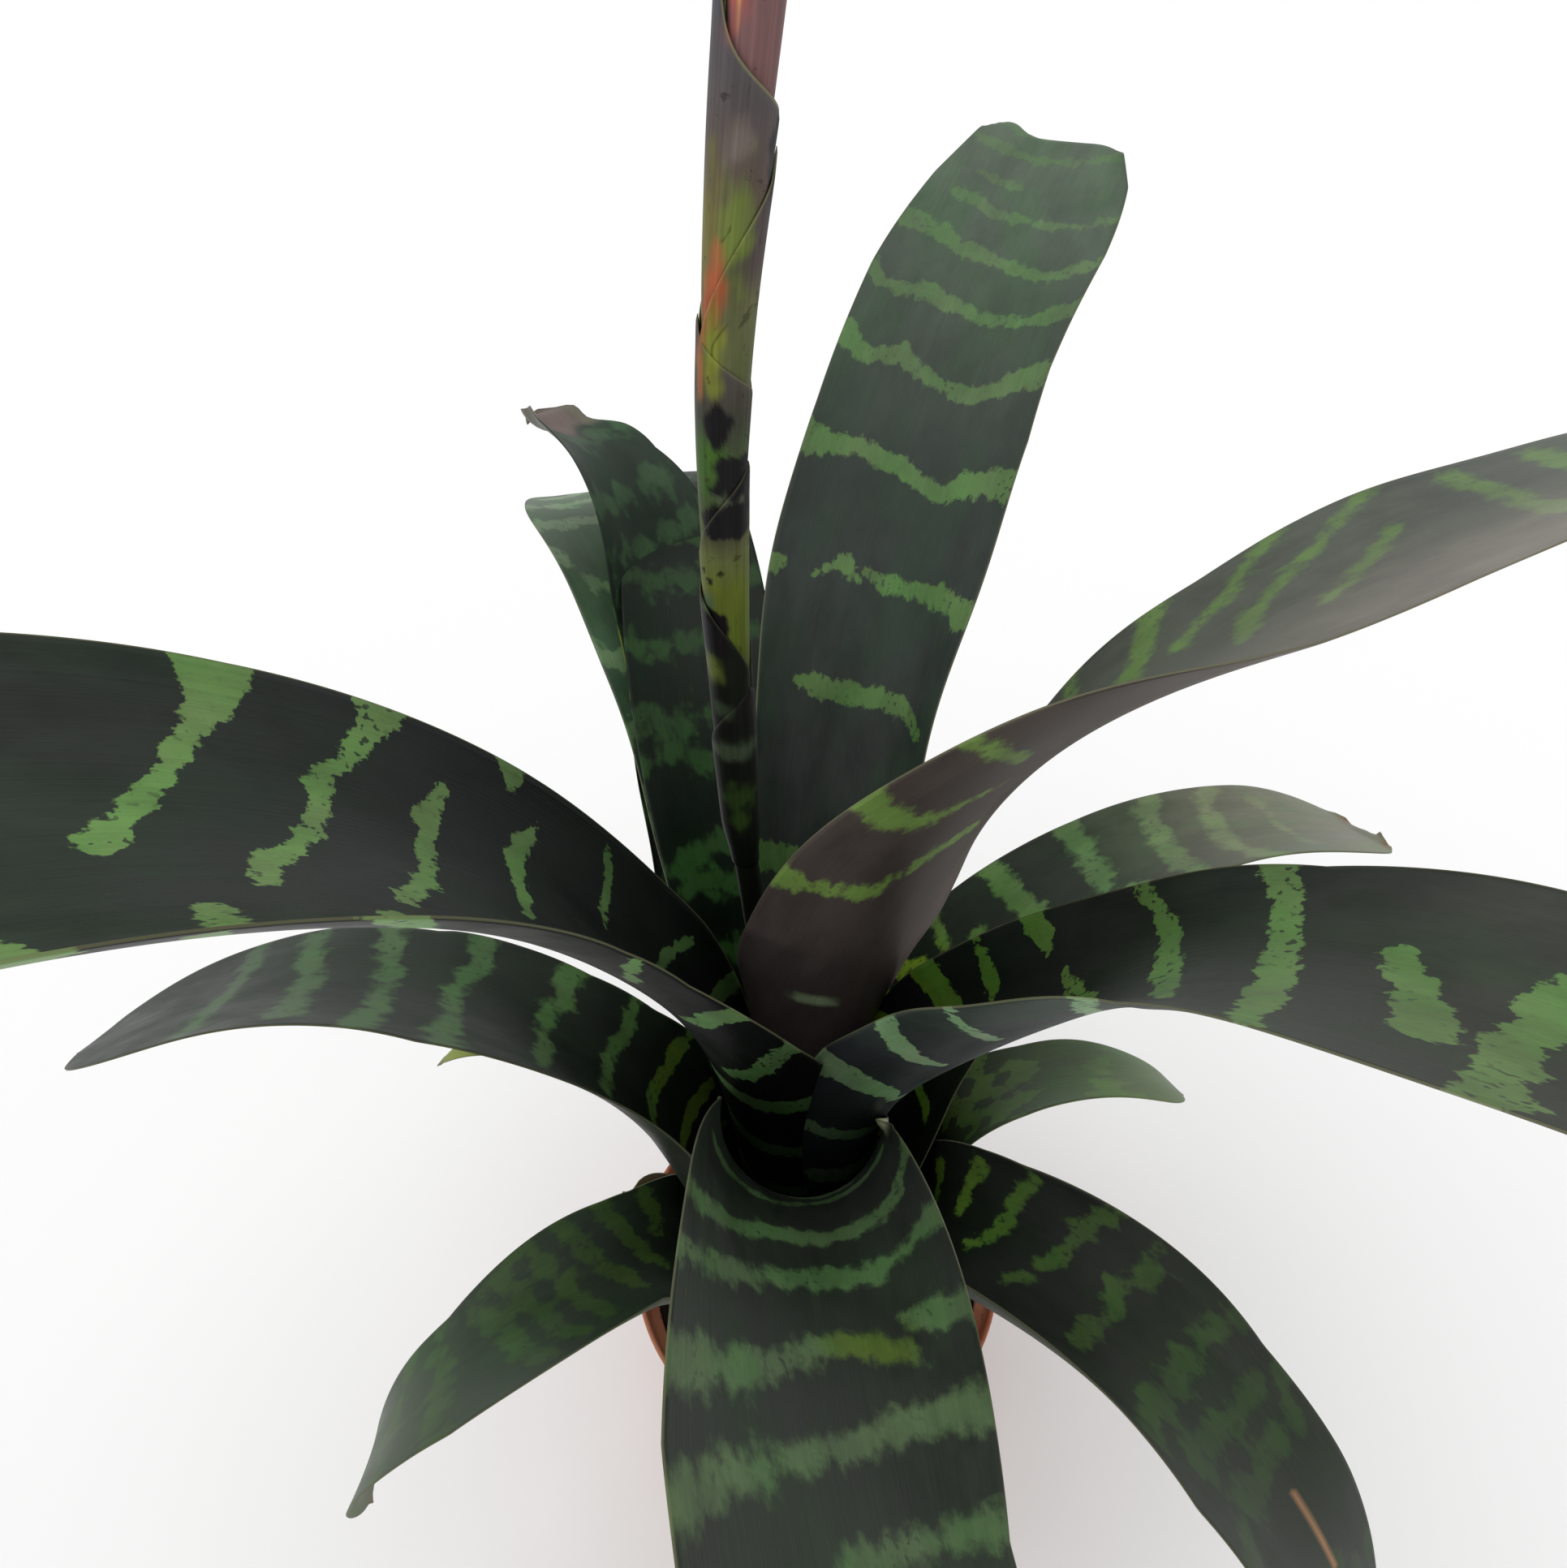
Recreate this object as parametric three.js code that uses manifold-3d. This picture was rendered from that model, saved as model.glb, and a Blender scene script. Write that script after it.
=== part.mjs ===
// Flaming sword bromeliad (Vriesea splendens) standing in its grow pot.
// Millimetres, +Z up. The origin is the centre of the pot's flat base.
// Every leaf rises from the potting mix as a curved sheath round the flower stalk. The sheaths nest
// like cups and form the water tank, and above it the blades arch outwards. The stalk carries
// sheathing bracts and, at its top, the flat sword of red bracts in two rows.
import * as THREE from 'three';
import { mergeVertices } from 'three/addons/utils/BufferGeometryUtils.js';
import Module from 'manifold-3d';

const wasm = await Module();
wasm.setup();

const { clamp, degToRad, lerp, smoothstep } = THREE.MathUtils;

// ---- pot and potting mix -------------------------------------------------------------------
const potHeight = 105;
const potRimRadius = 60;
const potBaseRadius = 44;
const potWall = 1.6;
const potRimLip = 3;        // how far the rim stands out from the wall below it
const potRimDepth = 12;
const potSides = 40;
const soilTop = 96;
const soilCrown = 42;       // radius of the level middle of the mix
const soilSink = 3;         // how far the mix has sunk at the pot's wall
const soilGap = 0.3;        // clearance between the mix and the pot
const drainHoles = 6;
const drainRadius = 4;
const drainCircle = 28;
const drainSides = 12;

// ---- leaves --------------------------------------------------------------------------------
const leafThickness = 0.8;
const leafGap = 0.35;       // clearance kept where one leaf passes another
const leafBottom = soilTop + 0.5;
const plantLean = -0.055;   // sideways lean of the whole rosette, mm per mm of height
const tipWidth = 3;
const rowsAlong = 14;
const rowsAcross = 6;
const innerSeat = 9.5;      // radius of the innermost sheath at its foot
const seatStep = 1.9;       // every next sheath stands this much further out
const sheathWrap = 1.6;     // half-angle that a sheath covers round the stalk, radians
const widestSheath = 36;    // largest half-width of a sheath
const sheathToWidth = 0.85; // and its largest share of the leaf's width
const strapPlaces = [0, 0.1, 0.36];         // foot, end of the even sheath, start of the even strap
const arcPlaces = [0, 0.22, 0.4, 0.65, 1];  // where the cross-section's radii stand
const sheathOpening = 1.1;  // growth of the radius up the sheath
const endOpening = 1.3;     // growth of the radius from the blade's middle to its end

// The leaves, from the innermost to the outermost.
// heading: compass direction of the blade, degrees, 0 = +X, 90 = +Y
// length, width: of the whole leaf
// rise: angle above the horizontal at six even places from foot to tip
// swing: sideways turn of the blade over the stretch swingAt (fractions of the length)
// turn, twist: roll of the sheath and of the blade, changing over the stretch twistAt
// throat, blade: radii of the cross-section where the sheath opens and along the blade
// tip: length of the narrowing end; point: how it narrows, low = long and pointed
// curl: degrees that the end bends back over the stretch curlAt
const leaves = {
  leaf_twisted: { heading: 14, length: 452, width: 64, rise: [88, 90, 72, 26, 14, -20],
    turn: -76, twist: -26, twistAt: [0.38, 0.7], throat: 38, blade: 78 },
  leaf_back_dark: { heading: 106, length: 305, width: 53, rise: [86, 53, 47, 41, 54, -19],
    swing: 41, swingAt: [0.7, 1], twist: 21, throat: 72, blade: 30, tip: 110 },
  leaf_back_tall: { heading: 78, length: 428, width: 62, rise: [88, 75, 53, 38, 22, 22],
    swing: -15, swingAt: [0.14, 0.9], throat: 22, blade: 120, tip: 105, curl: 85 },
  leaf_right: { heading: -41, length: 416, width: 58, rise: [88, 86, 64, 57, 1, -9],
    twist: -16, throat: 16, blade: 60 },
  leaf_left: { heading: 222, length: 446, width: 73, rise: [88, 90, 72, 53, 14, 6],
    swing: -1, throat: 28, blade: 42 },
  leaf_back_middle: { heading: 106, length: 319, width: 46, rise: [87, 72, 56, 35, 3, -30],
    swing: -13, throat: 36, blade: 80, tip: 130 },
  leaf_front: { heading: -92, length: 370, width: 66, rise: [88, 88, 52, 30, -29, -64],
    swing: 22, twist: -44, throat: 20, blade: 150 },
  leaf_far_right: { heading: 37, length: 270, width: 48, rise: [84, 79, 55, 18, -1, -33],
    swing: -27, twist: -20, throat: 39, blade: 90, tip: 50 },
  leaf_back_pale: { heading: 103, length: 310, width: 50, rise: [86, 70, 53, 34, 7, -31],
    swing: 18, twist: 9, throat: 50, blade: 90, tip: 70 },
  leaf_low_left: { heading: 181, length: 275, width: 57, rise: [84, 83, 72, 36, -15, -31],
    swing: 4, swingAt: [0.6, 0.95], twist: 29, throat: 25, blade: 110, tip: 70 },
  leaf_low_back: { heading: 75, length: 190, width: 42, rise: [82, 62, 30, 2, -18, -34],
    throat: 45, blade: 100, tip: 90 },
  leaf_front_right: { heading: -38, length: 250, width: 60, rise: [80, 88, 22, -12, -40, -74],
    swing: -16, swingAt: [0.5, 0.8], twist: -28, throat: 20, blade: 70 },
  leaf_pointed: { heading: 215, length: 200, width: 49, rise: [80, 84, 19, -8, -55, -86],
    swing: -13, twist: 30, throat: 18, blade: 145, tip: 140, point: 1.6 },
  leaf_small_right: { heading: 15, length: 155, width: 35, rise: [80, 83, 82, 34, -3, -54],
    swing: -15, swingAt: [0.15, 1], twist: -29, throat: 34, blade: 122, tip: 50 },
  leaf_small_left: { heading: 165, length: 161, width: 17, rise: [88, 88, 80, 56, 7, -56],
    swing: 14, twist: 8, throat: 45, blade: 60, tip: 100, point: 1.6 },
  old_leaf_stub: { heading: 174, length: 46, width: 26, rise: [84, 80, 64, 50, 42, 36],
    throat: 45, blade: 80, tip: 18 },
};
const leafDefaults = {
  swing: 0, swingAt: [0.2, 1], turn: 0, twist: 0, twistAt: [0.25, 0.7], tip: 60, point: 2.2,
  curl: 0, curlAt: [0.9, 0.94],
};

// ---- flower stalk --------------------------------------------------------------------------
// Centre line from the mix up to the end of the sword, and the radius at even steps along it.
const stalkLine = [
  [0, 0, 97.5], [-9, 3, 215], [-19, 6, 290], [-21, 5, 350], [-21, 3, 389], [-19, 1, 422],
  [-14.5, 1, 459], [-6, 2, 540], [1, 3, 616],
];
const stalkRadii = [4.2, 3.7, 3, 2.4, 2.4, 1.9, 1];
const stalkRings = 30;
const stalkSides = 10;

// ---- sheathing bracts on the stalk ---------------------------------------------------------
const sheathCount = 7;
const sheathFirst = 302;    // height of the first bract's foot
const sheathStep = 24;
const sheathLength = 46;
const sheathTop = 473;      // no sheathing bract reaches above this height
const sheathFirstHeading = -30;
const sheathTurn = -170;    // degrees round the stalk from one bract to the next
const sheathHalfAngle = 2.2;
const sheathFlare = 2;      // how far a bract's tip stands out from its foot
const sheathTaper = 1.5;    // how the wrap narrows towards the tip, high = late
const sheathRows = 6;
const sheathColumns = 8;
const bractTipWidth = 2;
const bractThickness = 0.5;
const bractGap = 0.3;       // clearance between a bract and the stalk

// ---- the sword -----------------------------------------------------------------------------
const swordStart = 476;     // height of the lowest red bract's foot
const swordPairs = 11;
const swordStep = 13;       // height between two bracts of the same row
const swordHeading = 24;    // the sword's edge points this way, degrees
const swordBractLength = [46, 26];   // lowest, highest
const swordBractTilt = [16, 12];     // lean away from the stalk
const swordBractRadius = 5.2;
const swordBractWrap = 1.15;         // half-angle of the folded bract, radians
const swordBractThickness = 0.6;
const swordOpenAt = 0.3;             // share of the length where a bract has its full radius
const swordTaperAt = 0.35;           // share of the length where it starts to narrow
const swordTaper = 1.8;
const swordRows = 5;
const swordColumns = 4;

// ---- colours, each with its roughness ------------------------------------------------------
const finishes = {
  pot: [0xb5613f, 0.7],
  mix: [0x3b2a20, 1],
  leaf: [0x2f4a34, 0.45],
  oldLeaf: [0x6b4a33, 0.9],
  stalk: [0x5c6b3a, 0.5],
  stalkBract: [0x5f6045, 0.5],
  swordBract: [0xc8341c, 0.4],
};

// ---- helpers -------------------------------------------------------------------------------
const vector = (x, y, z) => new THREE.Vector3(x, y, z);

// The value at x of a line through the given knots.
function ramp(x, knots, values) {
  for (let i = 1; i < knots.length; i += 1) {
    if (x <= knots[i]) {
      const share = clamp((x - knots[i - 1]) / (knots[i] - knots[i - 1]), 0, 1);
      return lerp(values[i - 1], values[i], share);
    }
  }
  return values[values.length - 1];
}

function evenRamp(x, values) {
  return ramp(x, values.map((_, i) => i / (values.length - 1)), values);
}

function directionOf(heading, rise) {
  return vector(Math.cos(rise) * Math.cos(heading), Math.cos(rise) * Math.sin(heading), Math.sin(rise));
}

function geometryFrom(points, faces) {
  const geometry = new THREE.BufferGeometry();
  geometry.setAttribute('position', new THREE.Float32BufferAttribute(points.flatMap((p) => p.toArray()), 3));
  geometry.setIndex(volumeOf(points, faces) < 0 ? faces.reverse() : faces);
  return geometry;
}

function volumeOf(points, faces) {
  let volume = 0;
  for (let i = 0; i < faces.length; i += 3) {
    const [a, b, c] = [points[faces[i]], points[faces[i + 1]], points[faces[i + 2]]];
    volume += a.dot(vector().crossVectors(b, c)) / 6;
  }
  return volume;
}

// Lofts a closed curved sheet. Each row gives its middle point, the directions across and up, the
// half-width, and the radius of the arc that the sheet follows across its width.
function sheet(rows, across, thickness) {
  const points = [];
  const faces = [];
  const quad = (a, b, c, d) => faces.push(a, b, c, a, c, d);
  const last = rows.length - 1;
  for (const side of [0.5, -0.5]) {
    for (const row of rows) {
      for (let j = 0; j <= across; j += 1) {
        const angle = (2 * j / across - 1) * row.half / row.radius;
        const reach = row.radius - side * thickness;
        points.push(row.middle.clone()
          .addScaledVector(row.across, Math.sin(angle) * reach)
          .addScaledVector(row.up, row.radius - Math.cos(angle) * reach));
      }
    }
  }
  const top = (i, j) => i * (across + 1) + j;
  const under = (i, j) => top(i + rows.length, j);
  for (let i = 0; i < last; i += 1) {
    for (let j = 0; j < across; j += 1) {
      quad(top(i, j), top(i + 1, j), top(i + 1, j + 1), top(i, j + 1));
      quad(under(i + 1, j + 1), under(i + 1, j), under(i, j), under(i, j + 1));
    }
    quad(top(i + 1, 0), top(i, 0), under(i, 0), under(i + 1, 0));
    quad(top(i, across), top(i + 1, across), under(i + 1, across), under(i, across));
  }
  for (let j = 0; j < across; j += 1) {
    quad(top(0, j), top(0, j + 1), under(0, j + 1), under(0, j));
    quad(top(last, j + 1), top(last, j), under(last, j), under(last, j + 1));
  }
  return geometryFrom(points, faces);
}

function toSolid(geometry) {
  const bare = geometry.clone();
  bare.deleteAttribute('normal');
  bare.deleteAttribute('uv');
  const merged = mergeVertices(bare);
  return new wasm.Manifold(new wasm.Mesh({
    numProp: 3,
    vertProperties: Float32Array.from(merged.attributes.position.array),
    triVerts: Uint32Array.from(merged.index.array),
  }));
}

function toGeometry(solid) {
  const mesh = solid.getMesh();
  const geometry = new THREE.BufferGeometry();
  geometry.setAttribute('position', new THREE.BufferAttribute(mesh.vertProperties, 3));
  geometry.setIndex(new THREE.BufferAttribute(mesh.triVerts, 1));
  return geometry;
}

// A solid of revolution about Z. The profile is a list of [radius, height], from axis to axis.
function turned(profile, sides) {
  const points = profile.map(([radius, height]) => new THREE.Vector2(radius, height));
  return new THREE.LatheGeometry(points, sides).rotateX(Math.PI / 2);
}

// ---- pot and mix ---------------------------------------------------------------------------
function potRadiusAt(height) {
  return lerp(potBaseRadius, potRimRadius - potRimLip, height / potHeight);
}

function buildPot() {
  const rimFoot = potHeight - potRimDepth;
  const stepTop = rimFoot + potWall;
  const profile = [
    [0, 0],
    [potBaseRadius, 0],
    [potRadiusAt(rimFoot), rimFoot],
    [potRadiusAt(rimFoot) + potRimLip, rimFoot],
    [potRimRadius, potHeight],
    [potRimRadius - potWall, potHeight],
    [potRadiusAt(stepTop) + potRimLip - potWall, stepTop],
    [potRadiusAt(stepTop) - potWall, stepTop],
    [potRadiusAt(potWall) - potWall, potWall],
    [0, potWall],
  ];
  let pot = toSolid(turned(profile, potSides));
  for (let i = 0; i < drainHoles; i += 1) {
    const angle = 2 * Math.PI * i / drainHoles;
    const drill = new THREE.CylinderGeometry(drainRadius, drainRadius, 4 * potWall, drainSides)
      .rotateX(Math.PI / 2)
      .translate(drainCircle * Math.cos(angle), drainCircle * Math.sin(angle), 0);
    pot = pot.subtract(toSolid(drill));
  }
  return toGeometry(pot);
}

function buildMix() {
  const floor = potWall + soilGap;
  const inset = potWall + soilGap;
  const edge = soilTop - soilSink;
  return turned([
    [0, floor],
    [potRadiusAt(floor) - inset, floor],
    [potRadiusAt(edge) - inset, edge],
    [soilCrown, soilTop],
    [0, soilTop],
  ], potSides);
}

// ---- leaves --------------------------------------------------------------------------------
// Half-width of a leaf at a fraction of its length: the broad sheath, the even strap, the tip.
function leafHalfWidth(leaf, along) {
  const sheath = Math.min(sheathWrap * leaf.seat, widestSheath, sheathToWidth * leaf.width);
  const body = ramp(along, strapPlaces, [sheath, sheath, leaf.width / 2]);
  const intoTip = clamp((along * leaf.length - leaf.length + leaf.tip) / leaf.tip, 0, 1);
  return Math.max(tipWidth / 2, body * Math.sqrt(1 - intoTip ** leaf.point));
}

// Radius of the arc across a leaf: round the stalk in the sheath, then opening into the blade.
function leafArcRadius(leaf, along) {
  const { seat, throat, blade } = leaf;
  const radii = [seat, sheathOpening * seat, throat, blade, endOpening * blade];
  return 1 / ramp(along, arcPlaces, radii.map((radius) => 1 / radius));
}

function leafDirection(leaf, along) {
  const heading = leaf.heading + leaf.swing * smoothstep(along, ...leaf.swingAt);
  const rise = evenRamp(along, leaf.rise) - leaf.curl * smoothstep(along, ...leaf.curlAt);
  return { heading: degToRad(heading), rise: degToRad(rise) };
}

function leafRows(leaf) {
  const foot = degToRad(leaf.heading + leaf.turn);
  const middle = vector(leaf.seat * Math.cos(foot), leaf.seat * Math.sin(foot), leafBottom);
  const step = leaf.length / rowsAlong;
  const rows = [];
  for (let i = 0; i <= rowsAlong; i += 1) {
    const along = i / rowsAlong;
    if (i > 0) {
      const before = leafDirection(leaf, (i - 0.5) / rowsAlong);
      middle.addScaledVector(directionOf(before.heading, before.rise), step);
    }
    const { heading, rise } = leafDirection(leaf, along);
    const forward = directionOf(heading, rise);
    const across = vector(-Math.sin(heading), Math.cos(heading), 0);
    const up = vector().crossVectors(forward, across);
    const roll = degToRad(lerp(leaf.turn, leaf.twist, smoothstep(along, ...leaf.twistAt)));
    across.applyAxisAngle(forward, roll);
    up.applyAxisAngle(forward, roll);
    rows.push({
      middle: middle.clone(),
      across,
      up,
      half: leafHalfWidth(leaf, along),
      radius: leafArcRadius(leaf, along),
    });
  }
  return rows;
}

const leanOver = new THREE.Matrix4().set(
  1, 0, plantLean, -plantLean * leafBottom,
  0, 1, 0, 0,
  0, 0, 1, 0,
  0, 0, 0, 1,
);

// The leaf itself, or, with a margin, the space to keep free round it.
function leafSolid(leaf, margin = 0) {
  const rows = leafRows(leaf);
  rows.forEach((row) => {
    row.half += margin;
  });
  return toSolid(sheet(rows, rowsAcross, leafThickness + 2 * margin).applyMatrix4(leanOver));
}

// The leaves are made from the inside out. One that would run into an inner leaf is trimmed back
// from it, and its largest remaining body is kept.
function buildLeaves() {
  const built = [];
  Object.entries(leaves).forEach(([name, own], index) => {
    const leaf = { ...leafDefaults, ...own, seat: innerSeat + seatStep * index };
    let solid = leafSolid(leaf);
    for (const inner of built) {
      if (solid.intersect(inner.solid).isEmpty()) {
        continue;
      }
      const pieces = solid.subtract(inner.clearance).decompose();
      solid = pieces.reduce((best, piece) => (piece.volume() > best.volume() ? piece : best));
    }
    built.push({ name, solid, clearance: leafSolid(leaf, leafGap) });
  });
  return built.map(({ name, solid }) => [name, toGeometry(solid)]);
}

// ---- stalk, bracts and sword ---------------------------------------------------------------
const stalkCurve = new THREE.CatmullRomCurve3(stalkLine.map(([x, y, z]) => vector(x, y, z)));
const stalkFoot = stalkLine[0][2];
const stalkEnd = stalkLine[stalkLine.length - 1][2];

function stalkRadiusAt(height) {
  return evenRamp((height - stalkFoot) / (stalkEnd - stalkFoot), stalkRadii);
}

// The point of the stalk's centre line at a height.
function stalkCentreAt(height) {
  let low = 0;
  let high = 1;
  for (let i = 0; i < 30; i += 1) {
    const half = (low + high) / 2;
    if (stalkCurve.getPoint(half).z < height) {
      low = half;
    } else {
      high = half;
    }
  }
  return stalkCurve.getPoint(low);
}

function buildStalk() {
  const points = [];
  const faces = [];
  for (let i = 0; i <= stalkRings; i += 1) {
    const height = lerp(stalkFoot, stalkEnd, i / stalkRings);
    const centre = stalkCentreAt(height);
    for (let j = 0; j < stalkSides; j += 1) {
      const angle = 2 * Math.PI * j / stalkSides;
      points.push(centre.clone().addScaledVector(directionOf(angle, 0), stalkRadiusAt(height)));
    }
  }
  for (let j = 0; j < stalkSides; j += 1) {
    const next = (j + 1) % stalkSides;
    for (let i = 0; i < stalkRings; i += 1) {
      const [low, high] = [i * stalkSides, (i + 1) * stalkSides];
      faces.push(low + j, low + next, high + next, low + j, high + next, high + j);
    }
  }
  const topRing = stalkRings * stalkSides;
  for (let j = 1; j < stalkSides - 1; j += 1) {
    faces.push(0, j + 1, j, topRing, topRing + j, topRing + j + 1);
  }
  return geometryFrom(points, faces);
}

// A bract that wraps the stalk and narrows to a point on its outer side.
function buildSheathBract(index) {
  const foot = sheathFirst + sheathStep * index;
  const out = directionOf(degToRad(sheathFirstHeading + sheathTurn * index), 0);
  const across = vector(0, 0, 1).cross(out);
  const length = Math.min(sheathLength, sheathTop - foot);
  const footRadius = stalkRadiusAt(foot) + bractGap + bractThickness / 2;
  const rows = [];
  for (let i = 0; i <= sheathRows; i += 1) {
    const along = i / sheathRows;
    const radius = footRadius + sheathFlare * along * length / sheathLength;
    const wrap = sheathHalfAngle * (1 - along ** sheathTaper);
    rows.push({
      middle: stalkCentreAt(foot + length * along).addScaledVector(out, radius),
      across,
      up: out.clone().negate(),
      half: Math.max(bractTipWidth / 2, wrap * radius),
      radius,
    });
  }
  return sheet(rows, sheathColumns, bractThickness);
}

// A boat-shaped red bract. It clasps the stalk at its foot and leans out to its keeled tip.
function buildSwordBract(index) {
  const level = Math.floor(index / 2);
  const share = level / (swordPairs - 1);
  const foot = swordStart + swordStep * (level + (index % 2) / 2);
  const heading = degToRad(swordHeading + 180 * (index % 2));
  const length = lerp(...swordBractLength, share);
  const tilt = degToRad(lerp(...swordBractTilt, share));
  const out = directionOf(heading, 0);
  const forward = directionOf(heading, Math.PI / 2 - tilt);
  const across = vector(0, 0, 1).cross(out);
  const up = vector().crossVectors(forward, across);
  const footRadius = stalkRadiusAt(foot) + bractGap + swordBractThickness / 2;
  const start = stalkCentreAt(foot).addScaledVector(out, footRadius);
  const rows = [];
  for (let i = 0; i <= swordRows; i += 1) {
    const along = i / swordRows;
    const radius = ramp(along, [0, swordOpenAt, 1], [footRadius, swordBractRadius, swordBractRadius]);
    const intoTip = clamp((along - swordTaperAt) / (1 - swordTaperAt), 0, 1);
    const narrowing = Math.sqrt(1 - intoTip ** swordTaper);
    rows.push({
      middle: start.clone().addScaledVector(forward, length * along),
      across,
      up,
      half: Math.max(bractTipWidth / 2, swordBractWrap * radius * narrowing),
      radius,
    });
  }
  return sheet(rows, swordColumns, swordBractThickness);
}

// ---- materials and assembly ----------------------------------------------------------------
function material([color, roughness]) {
  return new THREE.MeshStandardMaterial({ color, roughness, metalness: 0, side: THREE.DoubleSide });
}

const group = new THREE.Group();

function add(name, geometry, finish) {
  geometry.computeVertexNormals();
  const mesh = new THREE.Mesh(geometry, finish);
  mesh.name = name;
  group.add(mesh);
}

add('pot', buildPot(), material(finishes.pot));
add('potting_mix', buildMix(), material(finishes.mix));
for (const [name, geometry] of buildLeaves()) {
  add(name, geometry, material(name === 'old_leaf_stub' ? finishes.oldLeaf : finishes.leaf));
}
add('flower_stalk', buildStalk(), material(finishes.stalk));
for (let i = 0; i < sheathCount; i += 1) {
  add(`stalk_bract_${i + 1}`, buildSheathBract(i), material(finishes.stalkBract));
}
for (let i = 0; i < 2 * swordPairs; i += 1) {
  add(`sword_bract_${i + 1}`, buildSwordBract(i), material(finishes.swordBract));
}

export default group;
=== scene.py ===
import math
import random

import bpy
import numpy as np
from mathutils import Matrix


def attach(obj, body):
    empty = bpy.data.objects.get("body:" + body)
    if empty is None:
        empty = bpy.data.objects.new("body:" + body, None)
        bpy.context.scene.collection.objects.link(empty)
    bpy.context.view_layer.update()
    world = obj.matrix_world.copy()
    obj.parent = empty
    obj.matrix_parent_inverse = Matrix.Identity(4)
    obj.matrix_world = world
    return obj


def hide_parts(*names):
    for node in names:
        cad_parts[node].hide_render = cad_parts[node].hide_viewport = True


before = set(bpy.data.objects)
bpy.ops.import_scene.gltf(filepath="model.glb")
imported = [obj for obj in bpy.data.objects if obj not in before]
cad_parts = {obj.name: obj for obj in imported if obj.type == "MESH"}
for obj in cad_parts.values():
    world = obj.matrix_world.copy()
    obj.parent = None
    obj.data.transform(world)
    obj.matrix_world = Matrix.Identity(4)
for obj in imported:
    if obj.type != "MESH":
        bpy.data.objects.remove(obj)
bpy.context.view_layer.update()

mm = 0.001

# camera
cameraSetup = {
    "place": (-0.011, -0.167, 0.492),
    "lookDown": 45,        # degrees below the horizon
    "lens": 27.0,
    "sensor": 36.0,
    "nearest": 0.01,       # nothing closer than this is drawn
}


def makeCamera(setup):
    data = bpy.data.cameras.new("camera")
    data.lens = setup["lens"]
    data.sensor_width = setup["sensor"]
    data.clip_start = setup["nearest"]
    camera = bpy.data.objects.new("camera", data)
    camera.location = setup["place"]
    camera.rotation_euler = (math.radians(90 - setup["lookDown"]), 0, 0)
    bpy.context.scene.collection.objects.link(camera)
    bpy.context.scene.camera = camera


makeCamera(cameraSetup)
print("camera set")


# small tools
def tone(red, green, blue):
    # a colour as seen on a screen, 0 to 255, turned into light
    levels = (red, green, blue)
    return tuple(c / 12.92 / 255 if c < 10.3 else ((c / 255 + 0.055) / 1.055) ** 2.4 for c in levels)


def rampColours(places, colours, values, tint=(1, 1, 1)):
    # the colour at each value, from colours that stand at the places
    light = np.array([tone(*(c * t for c, t in zip(colour, tint))) for colour in colours])
    return np.stack([np.interp(values, places, light[:, c]) for c in range(3)], axis=-1)


def onCircle(angle, radius, height):
    return np.stack([np.cos(angle) * radius, np.sin(angle) * radius, height + 0 * angle], axis=-1)


def smoothStep(x, low, high):
    share = np.clip((x - low) / (high - low), 0, 1)
    return share * share * (3 - 2 * share)


def ripple(a, b, seed, waves=6):
    # a gentle random swell of about -1 to 1 over two coordinates
    draw = np.random.default_rng(seed)
    total = 0
    for _ in range(waves):
        turn, phase = draw.uniform(0, 2 * math.pi), draw.uniform(0, 2 * math.pi)
        pitch = draw.uniform(0.6, 1.7)
        total = total + np.sin(pitch * (a * math.cos(turn) + b * math.sin(turn)) + phase)
    return total / math.sqrt(waves)


def addNode(tree, kind, inputs=None, **settings):
    node = tree.nodes.new("ShaderNode" + kind)
    for name, value in settings.items():
        setattr(node, name, value)
    for name, value in (inputs or {}).items():
        if isinstance(value, bpy.types.NodeSocket):
            tree.links.new(value, node.inputs[name])
        else:
            node.inputs[name].default_value = value
    return node


def readAttribute(tree, name):
    return addNode(tree, "Attribute", attribute_name=name).outputs["Vector"]


def splitVector(tree, vector):
    return addNode(tree, "SeparateXYZ", {0: vector}).outputs


def maths(tree, operation, a, b=0.0):
    return addNode(tree, "Math", {0: a, 1: b}, operation=operation).outputs[0]


def stretched(tree, vector, scale):
    return addNode(tree, "VectorMath", {0: vector, 1: scale}, operation="MULTIPLY").outputs[0]


def noiseOf(tree, vector, scale=1.0, detail=2.0, roughness=0.5, distortion=0.0):
    inputs = {"Vector": vector, "Scale": scale, "Detail": detail, "Roughness": roughness}
    return addNode(tree, "TexNoise", {**inputs, "Distortion": distortion}).outputs[0]


def mapped(tree, value, low, high, toLow=0.0, toHigh=1.0, kind="SMOOTHSTEP"):
    inputs = {0: value, 1: low, 2: high, 3: toLow, 4: toHigh}
    return addNode(tree, "MapRange", inputs, interpolation_type=kind).outputs[0]


def mixTone(tree, share, a, b):
    a = a if isinstance(a, bpy.types.NodeSocket) else (*a, 1)
    b = b if isinstance(b, bpy.types.NodeSocket) else (*b, 1)
    return addNode(tree, "Mix", {0: share, 6: a, 7: b}, data_type="RGBA").outputs[2]


def dimmed(tree, colour, by):
    return addNode(tree, "VectorMath", {0: colour, "Scale": by}, operation="SCALE").outputs[0]


def bumpOf(tree, height, strength, distance, under=None):
    inputs = {"Height": height, "Strength": strength, "Distance": distance}
    if under is not None:
        inputs["Normal"] = under
    return addNode(tree, "Bump", inputs).outputs[0]


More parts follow.
